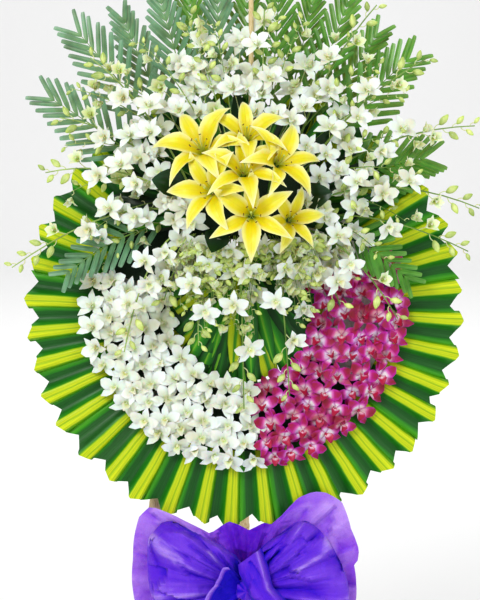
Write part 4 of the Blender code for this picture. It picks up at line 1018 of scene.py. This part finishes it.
# Broad leaves
# Dark glossy shrub leaves on short stalks, folded a little along the middle. They stand in the foam and
# fill the gaps behind the lilies.
BROAD_LEAF = fresh_leaf("dark_broad_leaf", ((0.0, "1E4A22"), (0.5, "123C1A"), (1.0, "1C4C22")), 9, 0.28)
broad_rows = ((0, 0.05, 0), (0.16, 0.10, 0), (0.28, 0.50, 0.08), (0.42, 0.84, 0.14), (0.58, 1.0, 0.16),
              (0.74, 0.88, 0.12), (0.88, 0.56, 0.02), (0.96, 0.25, -0.08), (1.0, 0.02, -0.14))
blade(6, broad_rows, lambda across: 0.32 * abs(across))
broad_model = back_and_close(0.02, 50, BROAD_LEAF)
for name, root, tip, half in (
    ("broad_leaf_left", (-0.100, -FOAM_FRONT, 0.240), (-0.178, -0.188, 0.252), 0.028),
    ("broad_leaf_lower", (-0.045, -FOAM_FRONT, 0.160), (-0.062, -0.212, 0.112), 0.026),
    ("broad_leaf_right", (0.098, -FOAM_FRONT, 0.215), (0.170, -0.190, 0.226), 0.026),
):
    blade_line = Vector(tip) - Vector(root)
    along = blade_line.normalized()
    normal = along.cross(FRONT).normalized().cross(along).normalized()
    place = facing(along.cross(normal), along, normal, Vector(root))
    leaf = copy_of(broad_model, place @ Matrix.Diagonal((half, blade_line.length, half, 1)))
    seat(leaf, name.replace("broad", "dark_broad"), "dark_leaf", name)
discard(broad_model)

# Filling
# Single dendrobium blooms, bud stems and strap leaves pushed in between the sprays, until the flowers stand
# close round the lilies and hang thickly over the top of the fan.
# The single blooms' places are corrected by their depth, for the camera's distance.
CAMERA_DISTANCE = 4.5
# (x, z) of the single blooms, in millimetres from the wreath's middle
SINGLE_BLOOMS = (
    (38, 582), (-6, 544), (-20, 538), (-88, 520), (-126, 496), (164, 496), (126, 490), (-32, 486),
    (68, 484), (-74, 480), (20, 474), (-120, 472), (-166, 446), (-22, 446), (10, 446), (-100, 444),
    (96, 438), (36, 434), (146, 428), (-184, 416), (-152, 404), (-132, 398), (-58, 398), (112, 394),
    (62, 392), (188, 392), (92, 380), (242, 380), (-170, 366), (-208, 362), (164, 354), (-274, 342),
    (204, 342), (126, 328), (-172, 318), (232, 318), (-230, 314), (-192, 314), (164, 312), (-170, 276),
    (188, 276), (242, 276), (-298, 268), (152, 266), (-246, 256), (-194, 250), (268, 250), (264, 240),
    (202, 238), (-142, 222), (124, 218), (-158, 216), (-120, 208), (148, 208), (212, 204), (-244, 194),
    (164, 182), (-198, 178), (-142, 178), (-104, 174), (216, 158), (8, 154), (-288, 142), (148, 138),
    (-126, 136), (240, 136), (-94, 130), (38, 124), (84, 124), (-64, 122), (-28, 118), (192, 118),
    (-194, 112), (64, 94), (-80, 92), (108, 92), (172, 90), (-152, 86), (10, 86), (-22, 74), (-78, 62),
    (-164, 60), (126, 56), (92, 50), (22, 26), (62, 26), (120, 0),
)
rng = random.Random(31)
parts = []
for x, z in SINGLE_BLOOMS:
    x, z = x / 1000, z / 1000
    spread = math.hypot(x, z - 0.25)
    depth = 0.098 + 0.10 * max(0, 1 - (spread / 0.24) ** 2) + rng.uniform(-0.008, 0.008)
    centre = Vector((x, 0, z)) * (1 - depth / CAMERA_DISTANCE) + FRONT * depth
    if any(math.hypot(other.x - centre.x, other.z - centre.z) < 0.018 for other in bloom_centres):
        continue
    outward = (Vector((x, 0, z)) - MIDDLE_OF_FOAM).normalized()
    sideways = Vector((rng.uniform(-0.35, 0.35), 0, rng.uniform(-0.35, 0.35)))
    turned = face_on(FRONT + outward * 0.35 + sideways, rng.uniform(-0.6, 0.6))
    model = white_blooms[rng.choice((0, 0, 1, 1, 2, 2, 3))]
    parts.append(copy_of(model, facing(*turned, centre, SPRAY_BLOOM * rng.uniform(0.85, 1.08))))
    inner = centre - turned[2] * 0.030 + (MIDDLE_OF_FOAM + FRONT * 0.08 - centre).normalized() * 0.035
    parts.append(bloom_stalk(inner, centre, -turned[2] * 0.012))
seat(joined(parts), "single_orchid_blooms", "white_orchid")


def bud_stem(path, radius, first, count, size, open_share, rng):
    """A thin stem with buds, and here and there a half open bloom, from a share of its length to its tip."""
    made = [stalk(along_path(path, 8), [radius * (1 - 0.6 * i / 8) for i in range(9)], ORCHID_STEM, 0)]
    for i in range(count):
        t = first + (0.985 - first) * i / max(count - 1, 1)
        point = bezier(path, t)
        along = (bezier(path, min(t + 0.02, 1)) - bezier(path, t - 0.02)).normalized()
        side = along.cross(FRONT).normalized() * (1 if i % 2 else -1)
        astray = Vector([rng.uniform(-0.2, 0.2) for _ in range(3)])
        heading = (side * 0.7 + along * 0.5 + FRONT * 0.35 + astray).normalized()
        scale = size * (1 - 0.45 * i / count) * rng.uniform(0.85, 1.15)
        turned = face_on(heading, rng.uniform(-0.3, 0.3))
        if rng.random() < open_share:
            centre = point + heading * 0.016
            made.append(copy_of(white_blooms[3], facing(*turned, centre, 0.024 * rng.uniform(0.8, 1.0))))
        else:
            centre = point + heading * 0.020 * scale
            shape = Matrix.Diagonal((0.0064 * scale, 0.0068 * scale, 0.0108 * scale, 1))
            made.append(copy_of(bud_model, facing(*turned, centre) @ shape))
        made.append(bloom_stalk(point, centre - heading * 0.008 * scale, side * 0.002))
    return made


parts = []
# (direction in degrees, length) of the bud stems that stick out between the sprays
for degrees, length in (
    (158, 0.33), (170, 0.30), (184, 0.26), (196, 0.24), (146, 0.37), (134, 0.36), (121, 0.36),
    (108, 0.36), (98, 0.35), (82, 0.37), (72, 0.36), (60, 0.36), (48, 0.37), (36, 0.36), (24, 0.33),
    (11, 0.31), (-4, 0.27), (-16, 0.24), (-28, 0.2),
):
    turn = math.radians(degrees + rng.uniform(-3, 3))
    outward = on_disc(1, turn)
    start = Vector((0, -rng.uniform(0.07, 0.12), 0.21)) + outward * 0.06
    end = start + outward * length * rng.uniform(0.92, 1.0) + Vector((0, rng.uniform(-0.045, 0), -0.03))
    control = start + outward * length * 0.55 + Vector((0, -0.03, 0.05))
    parts += bud_stem((start, control, end), 0.0016, 0.45, 9, 1.0, 0.25, rng)
seat(joined(parts), "orchid_bud_stems", "white_orchid")

parts = []
for number in range(56):
    x = -0.135 + 0.285 * (number + rng.uniform(0.2, 0.8)) / 56
    start = Vector((x * 0.8, -0.135 - rng.uniform(0, 0.02), 0.148))
    drop = rng.uniform(0.04, 0.20) * (1 - (x / 0.24) ** 2)
    end = Vector((x + rng.uniform(-0.03, 0.03), -rng.uniform(0.095, 0.150), 0.125 - drop))
    control = Vector((x, -rng.uniform(0.165, 0.205), 0.135))
    parts += bud_stem((start, control, end), 0.0013, 0.35, rng.choice((5, 6, 7)), 0.95, 0.20, rng)
seat(joined(parts), "hanging_orchid_tangle", "white_orchid")

parts = []
for number in range(46):
    turn = math.radians(-14 + 208 * (number + rng.uniform(0, 1)) / 46)
    outward = on_disc(1, turn)
    start = Vector((outward.x * 0.09, 0, 0.20 + outward.z * 0.05))
    length = rng.uniform(0.13, 0.215)
    place = Matrix.Translation(start) @ around_disc(turn + rng.uniform(-0.1, 0.1), rng.uniform(0.050, 0.085))
    place = place @ Matrix.Rotation(rng.uniform(-0.05, 0.18), 4, "X")
    place = place @ Matrix.Rotation(rng.uniform(-0.5, 0.5), 4, "Y")
    leaf = copy_of(fan_model, place @ Matrix.Diagonal((rng.uniform(0.011, 0.019), length, 0.012, 1)))
    leaf.data.materials.append(rng.choice((FAN_DARK, FAN_DARK, FAN_GREEN, BROAD_LEAF)))
    parts.append(leaf)
seat(joined(parts), "filling_leaves", "dark_leaf")
discard(bud_model, fan_model, stalk_model, *white_blooms)

# Bow
# A purple bow of thin non-woven cloth, gathered by a knot and tied round the lower crossbar: a wide back
# sheet, two puffed loops, the left one's open mouth, a band that crosses the knot, and two tails. The cloth
# crumples in creases that run out from the knot.
# The cloth's colours hold painted light: painted shade in the folds, by the knot and inside the loops,
# painted highlights on crests and facets, and painted light through the single sheets.
BOW = Vector((0.004, 0, BOW_Z))
KNOT_RADIUS = 0.022
CLOTH_INNER, CLOTH_THICKNESS = KNOT_RADIUS + 0.0007, 0.0008


def cloth(name, folds):
    """Thin spun cloth of fine tangled fibres, with a little light through it. folds are its colours by the
    fold attribute, which holds painted light: from painted shade at the bottom of a fold, by the knot, to a
    painted highlight on the crest of one, at the edge."""
    made = finish(name, Roughness=0.7, Specular_IOR_Level=0.25, Sheen_Weight=0.05,
                  Subsurface_Weight=0.1, Subsurface_Scale=0.006)
    place = add_node(made, "ShaderNodeTexCoord").outputs["Object"]
    # the fold attribute is painted lightness, not a colour the cloth has
    height = add_node(made, "ShaderNodeAttribute", attribute_name="fold")
    cloud = add_node(made, "ShaderNodeTexNoise", {"Vector": place, "Scale": 30, "Detail": 4,
                                                  "Distortion": 0.6})
    fibres = add_node(made, "ShaderNodeTexNoise", {"Vector": place, "Scale": 900, "Detail": 3,
                                                   "Distortion": 2.0})
    own = add_node(made, "ShaderNodeUVMap", uv_map="UVMap")
    stretch = add_node(made, "ShaderNodeMapping", {"Vector": own, "Scale": (46, 5, 1)})
    pulled = add_node(made, "ShaderNodeTexNoise", {"Vector": stretch, "Scale": 1, "Detail": 3,
                                                   "Distortion": 0.8})
    drawn = add_node(made, "ShaderNodeMath", {0: cloud, 1: pulled}, operation="ADD")
    shift = add_node(made, "ShaderNodeMath", {0: drawn, 1: 0.28, 2: -0.28}, operation="MULTIPLY_ADD")
    tone_and_painted_light = add_node(made, "ShaderNodeMath", {0: height.outputs["Fac"], 1: shift}, operation="ADD")
    colours = add_node(made, "ShaderNodeValToRGB", {"Fac": tone_and_painted_light}, stops=folds)
    thread = add_node(made, "ShaderNodeValToRGB", {"Fac": fibres}, stops=((0.3, "C9C4DA"), (0.7, "FFFFFF")))
    tint = add_node(made, "ShaderNodeMix", {0: 0.8, 6: colours, 7: thread},
                    data_type="RGBA", blend_type="MULTIPLY")
    facets = add_node(made, "ShaderNodeTexVoronoi", {"Vector": place, "Scale": 34},
                      feature="DISTANCE_TO_EDGE")
    coarse = add_node(made, "ShaderNodeBump", {"Height": facets, "Strength": 0.5, "Distance": 0.010})
    fine = add_node(made, "ShaderNodeBump", {"Height": fibres, "Strength": 0.3, "Distance": 0.0005,
                                             "Normal": coarse})
    wear(made, Base_Color=tint.outputs[2], Normal=fine)
    return made


# one purple cloth in two copies: paler with painted light through the single back sheet and tails, deeper
# with painted shade in the loops, mouth, band and knot
LIT_THROUGH_CLOTH = cloth("purple_cloth_painted_light_through", (
    (0.0, "3A04C4"), (0.30, "6A14DE"), (0.60, "9C5CF0"), (1.0, "D4AEFF")))
SHADED_CLOTH = cloth("purple_cloth_painted_shade", (
    (0.0, "1200C4"), (0.20, "2E08DA"), (0.42, "6A28E2"), (0.75, "8850EC"), (1.0, "C09CFA")))


def by_table(table, at):
    """The value of a table of pairs at a place between its ends."""
    at = min(max(at, table[0][0]), table[-1][0])
    return next(a + (b - a) * (at - low) / (high - low)
                for (low, a), (high, b) in zip(table, table[1:]) if at <= high)


def crumple(across, along, seed):
    """How high crumpled cloth stands, from 0 to 1, as flat facets that each lean their own way."""
    near, points = noise.voronoi(Vector((across, along, seed)))
    lean = points[0] * 91.7
    facet = 0.5 + 0.9 * (math.sin(lean.x) * (across - points[0].x) + math.sin(lean.y) * (along - points[0].y))
    return min(max(facet * 0.8 + 0.35 * (near[1] - near[0]), 0), 1)


def ridges(degrees, share, table):
    """The sharp folds that run out from the knot: each a (degree, half width, height, slant)."""
    return sum(height * max(0, 1 - abs(degrees - middle - slant * (share - 0.5)) / half)
               for middle, half, height, slant in table)


def draped(columns, rows, place_at, its_finish):
    """A sheet of cloth. place_at gives the place, and the painted lightness from 0 to 1 kept as its fold
    attribute, of its point at (across, along), each from 0 to 1."""
    sheet = opened(bpy.ops.mesh.primitive_grid_add, x_subdivisions=columns, y_subdivisions=rows, size=1)
    cage = bmesh.from_edit_mesh(sheet.data)
    # fold keeps each point's painted lightness
    fold = cage.verts.layers.float.new("fold")
    for corner in cage.verts:
        corner.co, corner[fold] = place_at(corner.co.x + 0.5, corner.co.y + 0.5)
    cage.normal_update()
    bmesh.update_edit_mesh(sheet.data)
    return back_and_close(CLOTH_THICKNESS, 13, its_finish)


# (degrees round the knot, reach) of the back sheet's edge
SHEET_EDGE = (
    (-62, 0.160), (-40, 0.200), (-7, 0.223), (11, 0.221), (12.4, 0.229), (18, 0.238), (29, 0.240),
    (42, 0.257), (50, 0.247), (54.6, 0.234), (60, 0.204), (63, 0.164), (68, 0.134), (74, 0.134),
    (80, 0.122), (87, 0.112), (95, 0.122), (104.4, 0.135), (112, 0.131), (119.5, 0.129), (125, 0.131),
    (131.7, 0.172), (136, 0.215), (139.5, 0.250), (146.5, 0.256), (156, 0.245), (166, 0.233),
    (187, 0.226), (222, 0.200), (242, 0.160),
)
# (degrees, half width, height, slant) of its folds
SHEET_FOLDS = (
    (30, 9, 1.0, 6), (48, 6, 0.8, -8), (62, 7, 0.9, 4), (74, 5, 0.9, 0), (88, 7, -0.5, 0), (103, 6, 1.0, 0),
    (118, 8, 0.7, 6), (132, 7, 0.9, 10), (148, 8, 1.0, -6), (163, 7, 0.7, 8), (178, 9, 0.9, 0),
    (205, 12, 1.0, 0),
    (-12, 10, 0.9, 0), (8, 7, 0.7, -5), (-38, 12, 1.0, 0),
)


def sheet_point(across, share):
    """The back sheet, from the knot to its edge, and its painted lightness."""
    degrees = -62 + 304 * across
    height = min(max(math.sin(math.radians(degrees)) * 3, 0), 1)
    fold = ridges(degrees, share, SHEET_FOLDS)
    outer = min(max(abs(degrees - 90) - 14, 0) / 20, 1)
    rough = crumple(degrees / 15, share * 2.0, 2) * (0.15 + 0.85 * outer)
    risen = min(share * 2, 1)
    depth = 0.020 + (0.008 + 0.022 * height) * risen + risen * (0.010 * fold + 0.016 * rough)
    reach = by_table(SHEET_EDGE, degrees)
    place = BOW + on_disc(CLOTH_INNER + (reach - CLOTH_INNER) * share, math.radians(degrees), depth)
    # painted lightness: darker by the knot and in the upright middle as painted shade, paler toward the outer
    # edges as painted light through the sheet, painted highlights on folds, and facets lighter and darker at
    # random
    return place, 0.30 + 0.30 * outer * share + 0.16 * fold * outer + 0.35 * (rough - 0.3) * outer


back_sheet = draped(150, 18, sheet_point, LIT_THROUGH_CLOTH)
seat(back_sheet, "bow_wide_sheet", "purple_cloth", "bow_back_sheet")

# (degrees, reach) of each loop's far fold, its front's folds, and (degrees, reach) of its mouth, out to which
# it is painted deep blue as shade
LOOPS = {
    "left": (
        ((98, 0.050), (106, 0.062), (119, 0.095), (128, 0.125), (133, 0.152), (137, 0.190), (142, 0.212),
         (151, 0.219), (168, 0.200), (188, 0.184), (210, 0.172), (234, 0.120)),
        ((120, 6, 0.8, 5), (134, 6, 1.0, -10), (147, 7, 0.8, 8), (158, 8, 1.3, -12), (172, 6, 0.7, 6),
         (184, 9, 1.2, 0), (204, 10, 1.0, 0)),
        ((98, 0.13), (119, 0.11), (135, 0.085), (150, 0.08), (170, 0.08), (190, 0.09), (234, 0.14)),
    ),
    "right": (
        ((-50, 0.130), (-30, 0.182), (-7, 0.206), (3, 0.203), (20, 0.193), (37, 0.188), (48, 0.182),
         (52, 0.172), (58, 0.130), (66, 0.098), (76, 0.060)),
        ((-30, 10, 1.0, 0), (-8, 8, 1.1, 6), (8, 7, 0.8, -8), (22, 7, 1.2, 10), (36, 6, 0.8, -6),
         (46, 6, 1.1, 8), (60, 6, 0.8, 0)),
        ((-50, 0.26), (-14, 0.22), (-2, 0.12), (6, 0.10), (30, 0.10), (42, 0.13), (52, 0.19), (76, 0.2)),
    ),
}
for side, seed in (("left", 3), ("right", 14)):
    edge, folds, mouth = LOOPS[side]

    def loop_point(across, turn):
        """A strip that leaves the knot behind, folds over at its far end and comes back in front."""
        aside = 2 * across - 1
        degrees = edge[0][0] + (edge[-1][0] - edge[0][0]) * across
        share = math.sin(math.pi * turn) ** 0.8 if 0 < turn < 1 else 0.0
        out = -math.cos(math.pi * turn) * share**0.6
        hump = math.sqrt(max(1 - aside * aside * 0.9, 0.03))
        rough = crumple(degrees / 13, turn * 3.2, seed)
        fold = ridges(degrees, share, folds) if turn > 0.3 else 0.4
        depth = 0.084 + (0.050 if out > 0 else 0.030) * out * hump
        depth += min(share * 2.2, 1) * (0.012 * fold + 0.022 * (rough - 0.4))
        reach = CLOTH_INNER + (by_table(edge, degrees) - CLOTH_INNER) * share
        lean = math.radians(degrees + 3 * (rough - 0.35) * share)
        into = min(reach / by_table(mouth, degrees), 1)
        crest = max(0, min(fold, 1) - 0.72)
        # painted light: deep blue painted shade inside the mouth by the knot, painted highlights on the
        # folds' crests, and facets lighter and darker at random
        tone_and_painted_light = (0.02 + 0.46 * into * into * (3 - 2 * into) + 0.10 * fold * into + 0.5 * (rough - 0.4)
                 + 0.9 * crest * into)
        return BOW + on_disc(reach, lean, depth), tone_and_painted_light

    loop = draped(70, 56, loop_point, SHADED_CLOTH)
    seat(loop, f"bow_puffed_loop_{side}", "purple_cloth", f"bow_loop_{side}")


def pocket_point(across, share):
    """The left loop's open mouth: a hollow fan from the knot, painted deep blue inside as shade, its rim
    rolled forward with a painted highlight.
    """
    degrees = 124 + 96 * across
    rough = crumple(across * 4, share * 2.0, 21)
    rolled = (124, 0.062), (132, 0.068), (150, 0.062), (167, 0.064), (196, 0.088), (220, 0.106)
    inner = CLOTH_INNER * 0.7
    reach = inner + (by_table(rolled, degrees) - inner) * share
    rim = max(0, (share - 0.80) / 0.20)
    depth = 0.104 + 0.040 * share**1.5 + 0.014 * math.sin(rim * math.pi * 0.75) + 0.006 * rough * share
    place = BOW + on_disc(reach, math.radians(degrees), depth)
    # painted shade inside, painted highlight on the rolled rim, facets lighter and darker at random
    return place, 0.06 + 0.16 * rough + 0.75 * min(rim * 2, 1)


def crossing_point(across, share):
    """The band that comes over the knot from the top and falls to the lower right, with a painted highlight
    on one fold.
    """
    left = [by_table(table, share) for table in (
        ((0, -0.016), (0.2, -0.014), (0.4, -0.002), (0.6, 0.014), (0.8, 0.024), (1, 0.028)),
        ((0, 0.052), (0.2, 0.034), (0.4, 0.006), (0.6, -0.026), (0.8, -0.062), (1, -0.105)))]
    right = [by_table(table, share) for table in (
        ((0, 0.030), (0.2, 0.044), (0.4, 0.053), (0.6, 0.082), (0.8, 0.102), (1, 0.104)),
        ((0, 0.086), (0.2, 0.048), (0.4, 0.008), (0.6, -0.020), (0.8, -0.060), (1, -0.105)))]
    rough = crumple(across * 2.2, share * 3, 27)
    crest = max(0, 1 - abs(across - 0.80) / 0.14) * min(max((0.62 - share) * 5, 0), 1)
    edge = 1 - (2 * across - 1) ** 4
    depth = 0.112 + 0.034 * math.sin(math.pi * (0.10 + 0.74 * share)) * edge + 0.010 * crest + 0.007 * rough
    x, z = (low + (high - low) * across for low, high in zip(left, right))
    # painted light: lighter on the raised middle, a painted highlight on the crest, and facets lighter and
    # darker at random
    return BOW + Vector((x, -depth, z)), 0.16 + 0.20 * edge + 0.50 * crest + 0.35 * (rough - 0.35)


for name, columns, rows, place_at, flat in (
    ("bow_open_mouth", 40, 20, pocket_point, (0.09, 0.07)),
    ("bow_crossing_band", 24, 44, crossing_point, (0.085, 0.21)),
):
    flap = draped(columns, rows, place_at, SHADED_CLOTH)
    seat(flap, name, "purple_cloth")

for lean, length, depth, seed in ((-0.27, 0.31, 0.046, 4), (0.22, 0.34, 0.062, 6)):
    def tail_point(across, share):
        """A tail, folded along its length."""
        drop = 0.010 + length * share
        half = 0.008 + 0.038 * min(share * 1.6, 1)
        aside = 2 * across - 1
        rough = crumple(across * 2.5, share * 5, seed)
        fold = 0.5 + 0.5 * math.cos(across * math.pi * 3)
        rise = 0.009 * fold + 0.006 * rough + 0.014 * math.sin(share * math.pi)
        place = BOW + Vector((lean * drop + aside * half, -depth - rise, -drop))
        # painted light: a painted highlight on the folds' crests, and facets lighter and darker at random
        return place, 0.3 + 0.25 * fold + 0.4 * rough

    tail = draped(18, 34, tail_point, LIT_THROUGH_CLOTH)
    seat(tail, f"bow_tail_{'left' if lean < 0 else 'right'}", "purple_cloth")

knot = opened(bpy.ops.mesh.primitive_cylinder_add, vertices=40, radius=1, depth=1, end_fill_type="NGON")
pick("FACE", lambda face: len(face.verts) > 4)
bpy.ops.mesh.inset(thickness=0.3)
bpy.ops.mesh.inset(thickness=0.3)
bpy.ops.mesh.poke()
pick("EDGE", lambda edge: abs(edge.verts[0].co.z - edge.verts[1].co.z) > 0.5)
bpy.ops.mesh.subdivide(number_cuts=20)
cage = bmesh.from_edit_mesh(knot.data)
fold = cage.verts.layers.float.new("fold")
for corner in cage.verts:
    turn, along = math.atan2(corner.co.y, corner.co.x), corner.co.z + 0.5
    wound = crumple(math.cos(turn) * 1.6 + along, math.sin(turn) * 1.6 + along * 2, 40)
    out = math.hypot(corner.co.x, corner.co.y)
    radius = out * KNOT_RADIUS * (0.78 + 0.24 * wound + 0.10 * math.sin(along * math.pi))
    rounded = 0.016 * (1 - out) if along > 0.5 else 0
    corner.co = BOW + on_disc(radius, turn, 0.017 + 0.101 * along + rounded)
    # the knot's facets lighter and darker at random, as painted light
    corner[fold] = 0.15 + 0.6 * wound
bmesh.update_edit_mesh(knot.data)
turn_outwards()
seat(closed(32, SHADED_CLOTH), "bow_knot", "purple_cloth", "bow_knot_and_tails")

# Floor, light and camera
# A sweep of plain white studio paper that curves up far behind the wreath, two soft lamps in front and one
# over the back, and the camera square to the leaning wreath, as the photograph was taken.
opened(bpy.ops.mesh.primitive_plane_add, size=1)
bpy.ops.transform.resize(value=(14, 12, 1))
bpy.ops.transform.translate(value=(0, 2, 0))
pick("EDGE", lambda edge: all(corner.co.y > 7.9 for corner in edge.verts))
extrude((0, 0, 6))
pick("EDGE", lambda edge: all(corner.co.y > 7.9 and corner.co.z < 0.1 for corner in edge.verts))
bpy.ops.mesh.bevel(offset=1.5, segments=12)
sweep = closed(0, finish("white_studio_paper", Base_Color=linear("F1F1F1"), Roughness=0.9))
bpy.ops.object.shade_smooth()
sweep.name = "studio_sweep"

world = bpy.data.worlds.new("studio_light")
bpy.context.scene.world = world
world.use_nodes = True
world.node_tree.nodes["Background"].inputs["Color"].default_value = linear("FFFFFF")
world.node_tree.nodes["Background"].inputs["Strength"].default_value = 0.55
for name, place, size, power in (
    ("key_lamp", (-1.6, -3.2, 3.4), 1.5, 66),
    ("fill_lamp", (2.2, -2.8, 1.8), 2.4, 18),
    ("back_lamp", (0.0, 3.2, 4.0), 3.6, 90),
):
    lamp = bpy.data.lights.new(name, "AREA")
    lamp.size, lamp.energy = size, power
    holder = bpy.data.objects.new(name, lamp)
    bpy.context.scene.collection.objects.link(holder)
    aim = Vector((0, 0, 1.0)) if place[1] < 0 else Vector((0, 4.4, 0))
    holder.location = place
    holder.rotation_euler = (aim - Vector(place)).to_track_quat("-Z", "Y").to_euler()

camera = bpy.data.cameras.new("camera")
viewer = bpy.data.objects.new("camera", camera)
bpy.context.scene.collection.objects.link(viewer)
outward = Vector((0, -math.cos(LEAN), math.sin(LEAN)))
wreath_up = Vector((0, math.sin(LEAN), math.cos(LEAN)))
aim = Vector((-0.008, -0.127, 1.0)) + wreath_up * 0.018
viewer.location = aim + outward * CAMERA_DISTANCE
viewer.rotation_euler = (-outward).to_track_quat("-Z", "Y").to_euler()
camera.sensor_fit = "VERTICAL"
# half the frame's height, and the depth at which the photograph's scale holds
half_frame, true_depth = 0.6, 0.06
camera.angle = 2 * math.atan(half_frame / (CAMERA_DISTANCE - true_depth))
bpy.context.scene.camera = viewer
bpy.context.scene.view_settings.view_transform = "Standard"
bpy.context.scene.view_settings.look = "Medium High Contrast"
